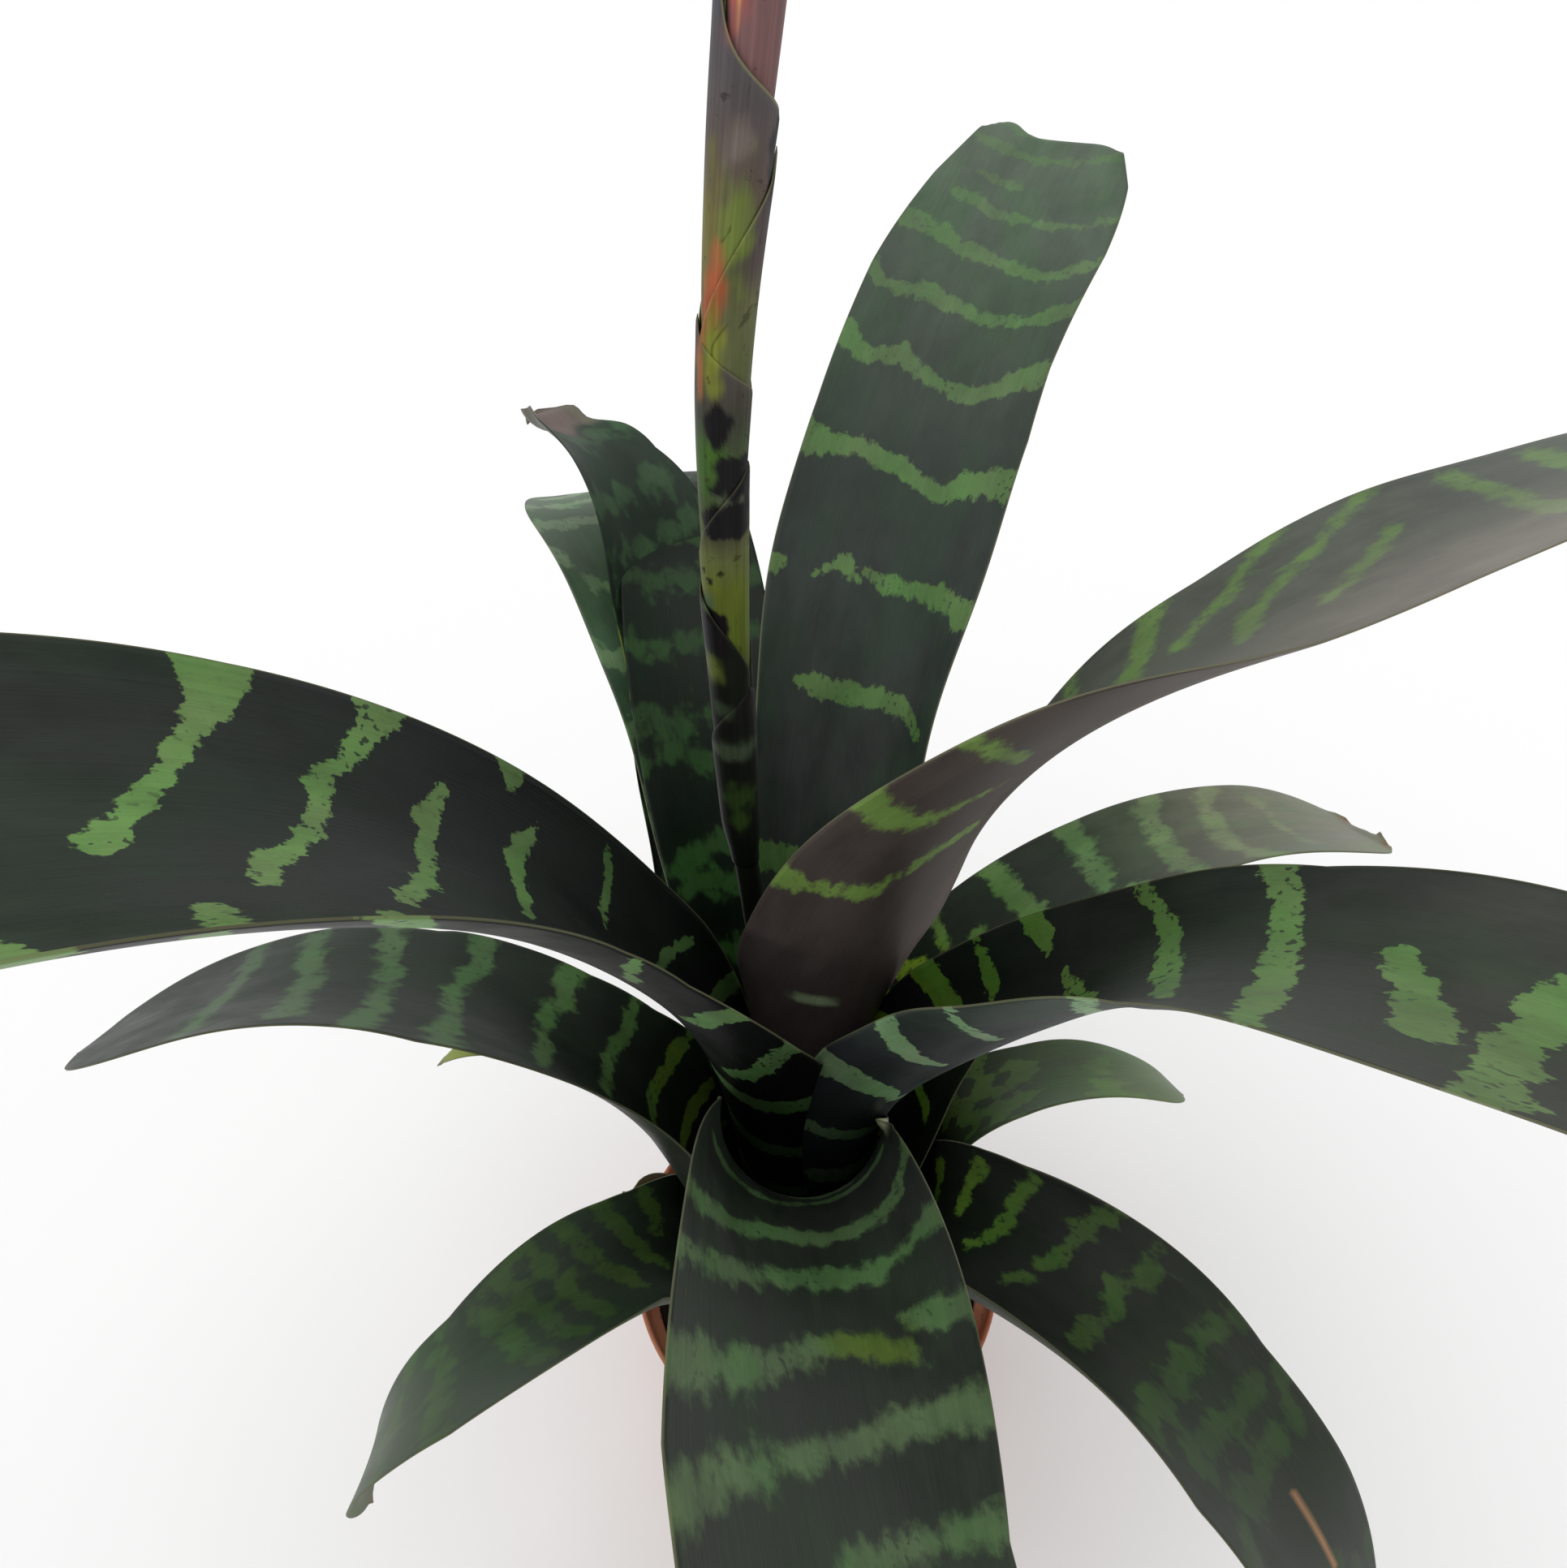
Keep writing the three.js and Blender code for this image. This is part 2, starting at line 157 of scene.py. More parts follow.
def newMaterial(name, **fixed):
    material = bpy.data.materials.new(name)
    material.use_nodes = True
    shader = material.node_tree.nodes["Principled BSDF"]
    for socket, value in fixed.items():
        shader.inputs[socket.replace("_", " ")].default_value = value
    return material, material.node_tree, shader


def finishShader(tree, shader, colour, roughness=None, normal=None):
    tree.links.new(colour, shader.inputs["Base Color"])
    if roughness is not None:
        tree.links.new(roughness, shader.inputs["Roughness"])
    if normal is not None:
        tree.links.new(normal, shader.inputs["Normal"])


def addPiece(name, mesh, materials, replaced):
    for material in materials:
        mesh.materials.append(material)
    piece = bpy.data.objects.new(name, mesh)
    bpy.context.scene.collection.objects.link(piece)
    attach(piece, "root")
    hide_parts(*replaced)
    return piece


def setVectors(mesh, name, values):
    layer = mesh.attributes.new(name, "FLOAT_VECTOR", "POINT")
    layer.data.foreach_set("vector", np.ascontiguousarray(values, np.float32).ravel())


# places on a sheet's bake map, 0 to 1
sheetMap = {
    "upper": (0.02, 0.48), "under": (0.52, 0.98), "seam": 0.999, "rows": (0.01, 0.99),
    "strip": (0.001, 0.006), "stripStart": 0.03, "stripReach": 0.9, "stripStep": 0.8,    # for the two ends
}


def closedSheet(name, upper, under):
    # a closed thin sheet from two grids of points, rows along it and columns across it
    # the bake map has the upper side in its lower half and the under side in its upper half
    rows, columns = upper.shape[:2]
    ring = 2 * columns
    points = np.concatenate([upper, under[:, ::-1]], axis=1).reshape(-1, 3)
    i, k = [a.ravel() for a in np.meshgrid(np.arange(rows - 1), np.arange(ring), indexing="ij")]
    nextK = (k + 1) % ring
    sides = np.stack([i * ring + k, (i + 1) * ring + k, (i + 1) * ring + nextK, i * ring + nextK], axis=1)
    j = np.arange(columns - 1)
    foot = np.stack([j, j + 1, ring - 2 - j, ring - 1 - j], axis=1)
    end = foot[:, ::-1] + (rows - 1) * ring
    faces = np.concatenate([sides, foot, end])

    acrossMap = np.concatenate([np.linspace(*sheetMap[side], columns) for side in ("upper", "under")])
    alongMap = np.linspace(*sheetMap["rows"], rows)
    left, right = acrossMap[k], np.where(nextK == 0, sheetMap["seam"], acrossMap[nextK])
    here, ahead = alongMap[i], alongMap[i + 1]
    sideMap = np.stack([here, left, ahead, left, ahead, right, here, right], axis=1)
    step = j / (columns - 1) * sheetMap["stripReach"] + sheetMap["stripStart"]
    stepOn = step + sheetMap["stripStep"] / columns
    low, high = (np.full(columns - 1, place) for place in sheetMap["strip"])
    footMap = np.stack([low, step, low, stepOn, high, stepOn, high, step], axis=1)
    endMap = footMap.copy()
    endMap[:, ::2] = 1 - endMap[:, ::2]

    corners = points[faces]
    volume = np.einsum("ij,ij->", corners[:, 0], np.cross(corners[:, 1], corners[:, 2]))
    volume += np.einsum("ij,ij->", corners[:, 0], np.cross(corners[:, 2], corners[:, 3]))
    maps = np.concatenate([sideMap, footMap, endMap]).reshape(-1, 4, 2)
    if volume < 0:
        faces, maps = faces[:, ::-1], maps[:, ::-1]

    mesh = bpy.data.meshes.new(name)
    mesh.from_pydata(points.tolist(), [], faces.tolist())
    bakeMap = mesh.uv_layers.new(name="OFBake")
    bakeMap.data.foreach_set("uv", np.ascontiguousarray(maps, np.float32).ravel())
    smooth = np.ones(len(faces), bool)
    smooth[: len(sides)] = (k != columns - 1) & (k != ring - 1)
    smooth[len(sides):] = False
    mesh.polygons.foreach_set("use_smooth", smooth)
    return mesh


def bothSides(upper, under):
    # values on the two grids, in the order of closedSheet's points
    return np.concatenate([upper, under[:, ::-1]], axis=1).reshape(-1, upper.shape[-1])


# leaves, from the innermost to the outermost; millimetres and degrees
# heading: compass direction, 0 = +X, 90 = +Y. rise: angle above the horizontal at even places
# swing: sideways turn of the blade over swingAt. turn, twist: roll of sheath and blade, changed over twistAt
# throat, blade: radii of the cross-section. tip: length of the narrowing end, point: how it narrows
# look: one of leafLooks. bands: each is a line of knots (side from -1 to 1, distance from the foot, width)
# spare: more bands are made up below the first of these distances and beyond the second
# olive: spots (side, distance, radius) where the bands turn to oliveTone
# soft, mottle: how blurred and how patchy the bands are near the foot and at the end
# green: how far patches of the ground turn greener. edge: 1 for a light margin, 0 for none
# trim: how much of its half width each side keeps at some distances; plus is the left one from the foot
# withered: length of the shrunken, crumpled end, whose tip has dryTone. crumple: depth of creases all over
# fold: where the end bends down, by how many degrees and over how far; line: (side, distance past at)
# scar: a dry line (from, to, side). nub: a raised knob (side, distance, height, reach)
# spots: (side, distance, half length, half width, colour). veil: a painted pale sheen of reflected light
# over the end, (side, from, full at, share, colour)
leafShapes = {
    "leaf_twisted": dict(
        heading=14, length=452, width=64, rise=[88, 90, 72, 26, 14, -20], turn=-76, twist=-26,
        twistAt=(0.38, 0.7), throat=38, blade=78, look="brownUnder", spare=(120, 350), soft=(0, 0.45),
        # the veil here is a painted pale sheen of reflected light on the near half of the end
        green=0, mottle=(0, 0.1), paintedSheen=(-1, 255, 330, 0.6, (140, 132, 124)),
        spots=[(-0.33, 164, 1.7, 5, (170, 190, 150))],
        bands=[
            [(0.05, 222, 3), (-0.1, 216, 5), (-0.25, 208, 6), (-0.35, 202, 6), (-0.5, 201, 4),
             (-0.7, 200, 3), (-0.85, 198, 5), (-1, 199, 7)],
            [(-0.3, 235, 3), (-0.4, 227, 5), (-0.5, 223, 5), (-0.7, 221, 6), (-0.9, 222, 6), (-1, 223, 7)],
            [(-0.5, 244, 3), (-0.8, 242, 3), (-1, 241, 3)], [(1, 258, 7), (0.9, 255, 5)],
            [(1, 283, 8), (0.9, 280, 7), (0.75, 276, 7), (0.6, 272, 7), (0.52, 269, 8)],
            [(1, 312, 8), (0.85, 304, 6), (0.7, 297, 5), (0.6, 290, 8), (0.45, 281, 5)],
            [(1, 334, 7), (0.8, 324, 4), (0.65, 315, 5), (0.5, 306, 6), (0.3, 295, 6), (0.1, 291, 5)],
            [(0.45, 330, 5), (0.2, 318, 6), (0, 308, 5)]]),
    "leaf_back_dark": dict(
        heading=106, length=305, width=53, rise=[86, 53, 47, 41, 54, -19], swing=41, swingAt=(0.7, 1),
        twist=21, throat=72, blade=30, tip=110, look="dark", withered=26, edge=0,
        trim=dict(plus=[(268, 1), (292, 1.45), (305, 2)], minus=[(268, 1), (292, 1.45), (305, 2)]),
        soft=(0.4, 0.95), mottle=(0.6, 1), dryTone=(104, 92, 88),
        spots=[(1, 205, 9, 2.6, (98, 114, 46)), (1, 188, 10, 3, (94, 112, 44))], spare=(140, 249),
        bands=[
            [(1, 160, 7), (0.5, 160, 5), (-0.1, 166, 4)],
            [(1, 182, 6), (0.85, 181, 7), (0.4, 181, 6), (-0.15, 188, 5), (-0.6, 190, 5)],
            [(0.5, 196, 3), (0.25, 199, 6), (0.05, 203, 6), (-0.3, 204, 7), (-0.8, 207, 7)],
            [(1, 208, 6), (0.8, 210, 7), (0.4, 214, 6), (-0.1, 217, 4), (-0.3, 219, 2)],
            [(1, 222, 3), (0.2, 224, 4), (-0.1, 226, 4), (-0.35, 228, 6), (-0.6, 229, 7), (-1, 231, 6)],
            [(0.8, 237, 3), (0.05, 240, 4), (-0.4, 241, 4), (-0.75, 244, 5), (-1, 248, 4)]]),
    "leaf_back_tall": dict(
        heading=78, length=428, width=62, rise=[88, 75, 53, 38, 22, 22], swing=-15, swingAt=(0.14, 0.9),
        throat=22, blade=120, tip=105, look="tall", spare=(158, 428), soft=(0, 0.12), mottle=(0, 0.06),
        trim=dict(plus=[(325, 1), (365, 0.93), (392, 0.8)], minus=[(300, 1), (342, 1.1), (372, 1.11),
              (394, 0.95)]),
        fold=dict(at=388, over=9, by=110, line=[(-1, -5), (-0.75, -2.5), (0.1, -3), (0.35, -1.5), (0.6, 2),
              (0.8, 1), (1, -3)]),
        bands=[
            [(0.55, 201, 3), (0.45, 201, 7), (0.2, 200.5, 5), (0, 200.5, 6), (-0.2, 201, 6),
             (-0.45, 200, 6), (-0.6, 196, 4), (-0.72, 193, 2)],
            [(0.6, 230, 2), (0.45, 234, 4), (0.35, 236, 7), (0.27, 233, 5), (0.2, 231, 2)],
            [(0.12, 234, 3), (0, 232, 5), (-0.3, 231.5, 5), (-0.5, 231, 6), (-0.75, 229, 7),
             (-0.85, 226, 9), (-1, 226, 8)],
            [(1, 230, 6), (0.94, 230, 5)],
            [(1, 267, 11), (0.85, 266, 8), (0.7, 267, 6), (0.55, 269, 6), (0.3, 267, 6), (0, 265, 6),
             (-0.2, 261, 5), (-0.35, 259, 5), (-0.5, 263, 8), (-0.75, 264, 9), (-1, 264, 10)],
            [(1, 300, 10), (0.85, 298, 8), (0.7, 295, 4), (0.5, 297, 6), (0.4, 299, 7), (0.2, 295, 5),
             (0, 293, 4), (-0.3, 290, 6), (-0.5, 292, 6), (-0.7, 296, 7), (-0.9, 297, 9), (-1, 299, 8)],
            [(1, 324, 7), (0.8, 319, 4), (0.6, 319, 5), (0.4, 321, 6), (0.2, 318, 6), (0, 317, 4),
             (-0.3, 315, 4), (-0.6, 316, 4), (-0.8, 318, 6), (-1, 321, 7)],
            [(1, 345, 9), (0.8, 344, 7), (0.5, 342, 6), (0.3, 338, 5), (0.1, 338, 7), (0, 337, 5),
             (-0.3, 334, 4), (-0.6, 332, 4), (-0.8, 335, 5), (-1, 339, 6)],
            [(0.6, 359, 5), (0.4, 358, 5), (0.2, 354, 4), (0, 353, 4), (-0.4, 352, 3), (-0.7, 353, 3),
             (-0.9, 356, 4), (-1, 358, 5)],
            [(0.5, 369, 3), (0.2, 366, 3), (0, 366, 3)],
            [(0.9, 383, 4), (0.5, 381, 4), (0, 378, 3), (-0.5, 379, 3), (-0.9, 383, 4)],
            [(0.8, 392, 3), (0, 388, 3)]]),
    "leaf_right": dict(
        heading=-41, length=416, width=58, rise=[88, 86, 64, 57, 1, -9], twist=-16, throat=16, blade=60,
        look="cool", spare=(105, 306), oliveTone=(140, 180, 40), olive=[(0.9, 138, 30), (0.55, 142, 24)],
        bands=[
            [(1, 135, 9), (0.8, 136, 10), (0.6, 140, 9), (0.45, 147, 5), (0.3, 157, 4)],
            [(1, 167, 11), (0.65, 168, 10), (0.5, 172, 7), (0.35, 181, 4), (0.2, 192, 4)],
            [(1, 188, 3), (0.8, 187, 4), (0.6, 187, 5)], [(1, 204, 7), (0.85, 206, 6), (0.72, 207, 3)],
            [(0.5, 213, 4), (0.4, 216, 6), (0.3, 220, 6), (0.2, 226, 5), (0, 233, 5), (-0.2, 241, 5),
             (-0.4, 248, 5), (-0.6, 254, 5), (-0.8, 260, 5), (-1, 265, 5)],
            [(1, 234, 5), (0.85, 237, 4), (0.7, 241, 4), (0.5, 244, 6), (0.3, 247, 7), (0.1, 251, 8),
             (0, 254, 6), (-0.2, 258, 5), (-0.35, 263, 3)],
            [(1, 262, 7), (0.8, 265, 6), (0.6, 268, 6), (0.4, 270, 6), (0.2, 272, 7), (0, 275, 6),
             (-0.2, 277, 7), (-0.4, 280, 6), (-0.6, 282, 5), (-0.8, 284, 4), (-0.95, 287, 4)],
            [(0.3, 290, 6), (0, 296, 7), (-0.3, 300, 8)],
            [(0.3, 124, 4), (0, 126, 6), (-0.4, 130, 7), (-0.7, 130, 7), (-1, 130, 6)],
            [(-0.2, 157, 5), (-0.4, 166, 10), (-0.6, 168, 12), (-0.8, 167, 14), (-1, 160, 16)],
            [(-0.45, 195, 4), (-0.7, 197, 8), (-1, 203, 10)],
            [(-0.5, 221, 4), (-0.8, 226, 4), (-1, 232, 3)]]),
    "leaf_left": dict(
        heading=222, length=446, width=73, rise=[88, 90, 72, 53, 14, 6], swing=-1, throat=28, blade=42,
        look="warm", spare=(70, 326),
        trim=dict(plus=[(110, 1), (160, 0.86), (195, 0.77), (222, 0.69), (245, 0.74), (290, 1)]),
        bands=[
            [(1, 88, 6), (0.5, 90, 7), (0, 87, 6), (-0.5, 90, 5), (-1, 86, 6)],
            [(1, 113, 8), (0.6, 116, 6), (0.1, 113, 7), (-0.6, 116, 6), (-1, 111, 7)],
            [(0.9, 144, 6), (0.3, 141, 8), (-0.4, 143, 7), (-1, 138, 8)],
            [(1, 182, 7), (0.7, 172, 8), (0.45, 162, 7), (0.2, 156, 5)],
            [(1, 205, 6), (0.8, 204, 8), (0.55, 197, 8), (0.42, 196, 5)],
            [(-0.4, 176, 4), (-0.6, 171, 5), (-0.8, 163, 5)],
            [(-0.42, 203, 2), (-0.6, 201, 4), (-0.75, 200, 4), (-0.9, 202, 2)],
            [(-0.95, 236, 6), (-1, 238, 8)],
            [(-0.08, 237, 3), (-0.25, 235, 4), (-0.4, 234, 5), (-0.55, 233, 6), (-0.65, 230, 5),
             (-0.75, 227, 2)],
            [(0.25, 274, 3), (0.15, 271, 6), (0, 265, 5), (-0.2, 260, 4), (-0.4, 257, 4), (-0.5, 257, 7),
             (-0.6, 254, 5), (-0.68, 252, 3)],
            [(0.15, 295, 4), (0, 291, 7), (-0.2, 282, 4), (-0.4, 278, 4), (-0.55, 277, 5), (-0.65, 272, 4),
             (-0.8, 268, 5), (-0.9, 266, 7), (-1, 265, 9)],
            [(-0.1, 312, 6), (-0.3, 305, 5), (-0.45, 300, 3), (-0.6, 297, 5), (-0.75, 293, 6),
             (-0.9, 291, 9), (-1, 291, 12)],
            [(0.9, 314, 6), (0.7, 308, 6), (0.4, 305, 5)],
            [(0.95, 240, 4), (0.8, 235, 6), (0.65, 227, 5)], [(1, 295, 8), (0.75, 286, 7), (0.5, 282, 6)]]),
    "leaf_back_middle": dict(
        heading=106, length=319, width=46, rise=[87, 72, 56, 35, 3, -30], swing=-13, throat=36, blade=80,
        tip=130, look="dusk", edge=0, soft=(0.4, 0.9), mottle=(0.5, 0.8), spare=(300, 319)),
    "leaf_front": dict(
        heading=-92, length=370, width=66, rise=[88, 88, 52, 30, -29, -64], swing=22, twist=-44, throat=20,
        blade=150, look="front", nub=(1, 139, 3.5, 2.5), spots=[(1, 139, 3.5, 3, (186, 180, 150))],
        soft=(0, 0.6), mottle=(0, 0.25), spare=(126, 256), olive=[(0.4, 204, 13)],
        bands=[
            [(0.75, 137, 5), (0.3, 139, 5), (0, 142, 4), (-0.3, 150, 4), (-0.55, 158, 4), (-0.75, 160, 5)],
            [(1, 155, 7), (0.9, 157, 5), (0.8, 158, 3)],
            [(0.7, 162, 6), (0.4, 164, 6), (0.2, 166, 8), (0, 167, 8), (-0.2, 172, 7), (-0.4, 181, 6),
             (-0.6, 187, 7), (-0.8, 193, 7), (-1, 197, 6)],
            [(1, 177, 7), (0.8, 176, 5), (0.6, 180, 4), (0.5, 182, 8), (0.2, 184, 7), (0, 187, 6),
             (-0.2, 192, 6), (-0.4, 199, 6), (-0.6, 204, 6), (-0.8, 209, 5), (-1, 214, 4)],
            [(1, 197, 7), (0.8, 197, 7), (0.65, 197, 4)],
            [(0.58, 205, 6), (0.4, 203, 6), (0.2, 205, 5), (0.1, 207, 7), (0, 211, 7), (-0.2, 217, 6),
             (-0.4, 222, 6), (-0.6, 226, 7), (-0.8, 229, 7), (-1, 231, 7)],
            [(1, 216, 8), (0.8, 217, 8), (0.6, 219, 6), (0.4, 223, 7), (0.2, 228, 5), (0, 231, 5),
             (-0.2, 234, 5), (-0.4, 238, 5), (-0.6, 240, 5), (-0.8, 243, 5), (-1, 246, 5)],
            [(1, 237, 8), (0.8, 239, 6), (0.4, 244, 5), (0, 249, 5)]]),
    "leaf_far_right": dict(
        heading=37, length=270, width=48, rise=[84, 79, 55, 18, -1, -33], swing=-27, twist=-20, throat=39,
        blade=90, tip=40, look="brownEnd", soft=(0, 0.5), mottle=(0, 0.25), withered=12, spare=(85, 270),
        oliveTone=(130, 160, 44), olive=[(0.7, 96, 15), (0.45, 111, 15)],
        bands=[
            [(0.8, 95, 12), (0.6, 97, 8)], [(0.6, 110, 10), (0.3, 112, 8)],
            [(1, 127, 5), (0.7, 125, 4), (0.55, 123, 3)],
            [(0.3, 132, 6), (0, 131, 7), (-0.3, 129, 5), (-0.45, 129, 3)],
            [(1, 147, 7), (0.5, 148, 7), (0, 149, 8), (-0.4, 148, 6), (-0.6, 149, 4)],
            [(1, 174, 9), (0.5, 173, 7), (0, 171, 8), (-0.3, 170, 5)],
            [(-0.5, 176, 4), (-0.7, 177, 7), (-0.9, 176, 4)],
            [(1, 199, 8), (0.5, 195, 6), (0, 193, 7), (-0.5, 192, 7), (-1, 194, 7)],
            [(1, 221, 8), (0.5, 213, 5), (0, 211, 6), (-0.5, 210, 6), (-1, 214, 8)],
            [(0.7, 232, 3), (0, 230, 3), (-0.6, 231, 3)]]),
    "leaf_back_pale": dict(
        heading=103, length=310, width=50, rise=[86, 70, 53, 34, 7, -31], swing=18, twist=9, throat=50,
        blade=90, tip=70, look="pale", soft=(0.1, 0.35), mottle=(0.3, 0.4), spare=(155, 310),
        bands=[
            [(1, 162, 5), (0.2, 164, 5), (-0.6, 166, 4)], [(1, 180, 6), (0.4, 182, 6), (-1, 186, 5)],
            [(1, 206, 6), (0.8, 203, 8), (0.2, 200, 6), (-1, 206, 5)],
            [(1, 244, 7), (0.8, 240, 8), (0.7, 232, 8), (0.4, 228, 6), (-0.2, 228, 5), (-1, 232, 5)],
            [(1, 262, 8), (0.5, 264, 7), (-1, 268, 6)], [(1, 280, 6), (0.4, 282, 6), (-1, 286, 5)],
            [(0.8, 296, 4), (-0.5, 298, 4)]]),
    "leaf_low_left": dict(
        heading=181, length=275, width=57, rise=[84, 83, 72, 36, -15, -31], swing=4, swingAt=(0.6, 0.95),
        twist=29, throat=25, blade=110, tip=70, look="low", soft=(0, 0.5), mottle=(0, 0.25),
        trim=dict(minus=[(98, 1), (116, 0.87), (136, 0.85), (156, 0.92), (174, 1)]), spare=(66, 275),
        olive=[(-0.4, 79, 18), (-0.5, 102, 14)],
        bands=[
            [(-0.1, 78, 6), (-0.4, 79, 7), (-0.7, 80, 7)],
            [(0.05, 101, 5), (-0.2, 102, 6), (-0.5, 100, 6), (-0.8, 101, 6), (-1, 102, 3)],
            [(0.45, 130, 3), (0.1, 126, 4), (-0.2, 125, 4), (-0.4, 122, 6), (-0.6, 120, 4), (-0.8, 121, 3),
             (-1, 122, 5)],
            [(0.7, 153, 3), (0.4, 151, 5), (0.1, 148, 4), (-0.2, 147, 5), (-0.4, 146, 7), (-0.55, 141, 6),
             (-0.8, 142, 8), (-1, 140, 7)],
            [(0.95, 174, 5), (0.6, 174, 6), (0.3, 172, 5), (0, 173, 4), (-0.3, 171, 5), (-0.5, 167, 6),
             (-0.8, 166, 7), (-1, 165, 6)],
            [(0.9, 190, 6), (0.5, 188, 5), (0, 188, 5), (-0.3, 189, 6), (-0.6, 190, 7), (-1, 193, 8)],
            [(0.7, 204, 7), (0.3, 205, 6), (0, 206, 6), (-0.3, 209, 6), (-0.6, 212, 7), (-0.9, 214, 7)],
            [(0.8, 222, 6), (0.3, 225, 5), (-0.5, 228, 5), (-0.9, 231, 6)]]),
    "leaf_low_back": dict(
        heading=75, length=190, width=42, rise=[82, 62, 30, 2, -18, -34], throat=45, blade=100, tip=90,
        look="dusk", spare=(178, 190)),
    "leaf_front_right": dict(
        heading=-38, length=250, width=60, rise=[80, 88, 22, -12, -40, -74], swing=-16, swingAt=(0.5, 0.8),
        twist=-28, throat=20, blade=70, look="deep", soft=(0.1, 0.6), mottle=(0.05, 0.8),
        scar=(185, 206, 0.27), spare=(58, 176), olive=[(0.65, 69, 12)],
        bands=[
            [(0.75, 71, 5), (0.55, 67, 4)], [(0.8, 87, 6), (0.6, 83, 4), (0.4, 80, 4)],
            [(0.85, 102, 4), (0.6, 98, 4), (0.4, 97, 5), (0.2, 93, 5), (0.1, 89, 4)],
            [(0.9, 120, 6), (0.7, 115, 4), (0.5, 114, 4), (0.3, 112, 4), (0.1, 109, 4), (-0.05, 105, 5)],
            [(0.8, 134, 6), (0.6, 132, 5), (0.4, 128, 7), (0.2, 130, 5), (0, 126, 5), (-0.3, 128, 4)],
            [(0.9, 154, 6), (0.6, 151, 5), (0.3, 150, 6), (0, 150, 8), (-0.4, 147, 8), (-0.8, 148, 6)],
            [(0.9, 168, 5), (0.5, 166, 5), (0, 163, 7), (-0.5, 160, 8)]]),
    "leaf_pointed": dict(
        heading=215, length=200, width=49, rise=[80, 84, 19, -8, -55, -86], swing=-13, twist=30, throat=18,
        blade=145, tip=140, point=1.6, look="green", soft=(0.15, 0.7), mottle=(0.1, 0.8), spare=(52, 124),
        bands=[
            [(-0.5, 64, 5), (-0.7, 65, 5), (-0.9, 68, 4)],
            [(-0.05, 66, 3), (-0.2, 70, 5), (-0.4, 73, 5), (-0.6, 75, 5), (-0.8, 78, 5), (-1, 80, 4)],
            [(0.1, 77, 5), (-0.1, 80, 5), (-0.4, 84, 5), (-0.6, 86, 6), (-0.8, 89, 6), (-1, 91, 5)],
            [(0.4, 89, 4), (0.1, 91, 5), (-0.2, 94, 5), (-0.5, 96, 5), (-0.7, 98, 6), (-1, 101, 6)],
            [(0.5, 97, 5), (0.2, 101, 6), (-0.2, 104, 6), (-0.5, 107, 6), (-0.8, 109, 7)],
            [(0.6, 107, 5), (0.2, 111, 6), (-0.2, 114, 7), (-0.6, 118, 8)]]),
    "leaf_small_right": dict(
        heading=15, length=155, width=35, rise=[80, 83, 82, 34, -3, -54], swing=-15, swingAt=(0.15, 1),
        twist=-29, throat=34, blade=122, tip=50, look="fresh", soft=(0.05, 0.5), mottle=(1, 1),
        spare=(46, 94),
        bands=[
            [(0.9, 55, 6), (0.7, 60, 7), (0.5, 66, 6), (0.3, 68, 5)],
            [(0.95, 68, 9), (0.6, 74, 8), (0.2, 78, 8), (-0.5, 84, 8)],
            [(0.9, 84, 9), (0.4, 86, 8), (0, 90, 8), (-0.6, 94, 9)]]),
    "leaf_small_left": dict(
        heading=165, length=161, width=17, rise=[88, 88, 80, 56, 7, -56], swing=14, twist=8, throat=45,
        blade=60, tip=100, point=1.6, look="young", spare=(0, 161)),
    "old_leaf_stub": dict(
        heading=174, length=46, width=26, rise=[84, 80, 64, 50, 42, 36], throat=45, blade=80, tip=18,
        look="dry", crumple=1.6, spare=(0, 46)),
}
leafCommon = dict(
    swing=0, swingAt=(0.2, 1), turn=0, twist=0, twistAt=(0.25, 0.7), tip=60, point=2.2, trim={}, fold=None,
    withered=0, crumple=0, nub=None, scar=None, bands=[], olive=[], spots=[], paintedSheen=None, soft=(0, 0),
    mottle=(0, 0), green=1, edge=1, dryTone=(120, 92, 66), oliveTone=(86, 108, 38),
)
leafBuild = {
    "station": 1.6,        # distance between two rows of points
    "columns": 36,
    "foot": 96.5,          # height of every leaf's foot
    "innerSeat": 9.5,      # how far the innermost leaf's foot stands from the axis
    "seatStep": 1.9,       # and how much further out each next one does
    "firstSeed": 11,
    "lean": -0.055,        # of the whole rosette, per millimetre of height
    "riseBlend": 0.038,    # share of the length over which the rise is evened out, either way
    "sheathHalf": (1.6, 36, 0.85),    # the least of so many seats, millimetres and widths
    "widthPlaces": (0, 0.1, 0.36),    # the sheath holds its width up to the second, the blade from the third
    "arcPlaces": (0, 0.22, 0.4, 0.65, 1),   # where the radii of the cross-section hold
    "middleThick": 0.9,
    "edgeThick": 0.35,
    "swell": 0.5,          # depth of the blade's gentle unevenness
    "swellLength": (26, 14),    # along and across
    "edgeWave": 1.0,       # depth of the margin's waves
    "waveLength": 13,
    "swellFrom": (60, 140),     # distance from the foot over which both set in
    "swellHalf": (1, 12),       # and half width over which they grow
    "apex": 3.0,           # length of the small hard point at the tip
    "apexHalf": 1.4,
    "apexBlunt": 0.15,
}
leafWither = {
    "shrink": 0.22,        # share of the width lost, doubled where the margin is ragged
    "crumple": 2.6,        # depth of the creases
    "cup": 2.5,            # how far the margins curl up
    "brown": 0.8,          # share of the withered end that is brown
}
# the bands that are made up where none is given
madeBands = {
    "gap": (2, 8),         # from the given ones
    "spacing": (16, 27),
    "width": (4, 9),
    "clearFoot": 34,       # no band nearer to the foot
    "clearEnd": 20,        # nor to the end
    "spans": [(-1, 1), (-1, 1), (-1, 0.4), (-0.5, 1), (-0.8, 0.8)],    # from side to side
    "slip": 2,
    "knots": 8,
    "wander": 2.4,         # from knot to knot
}
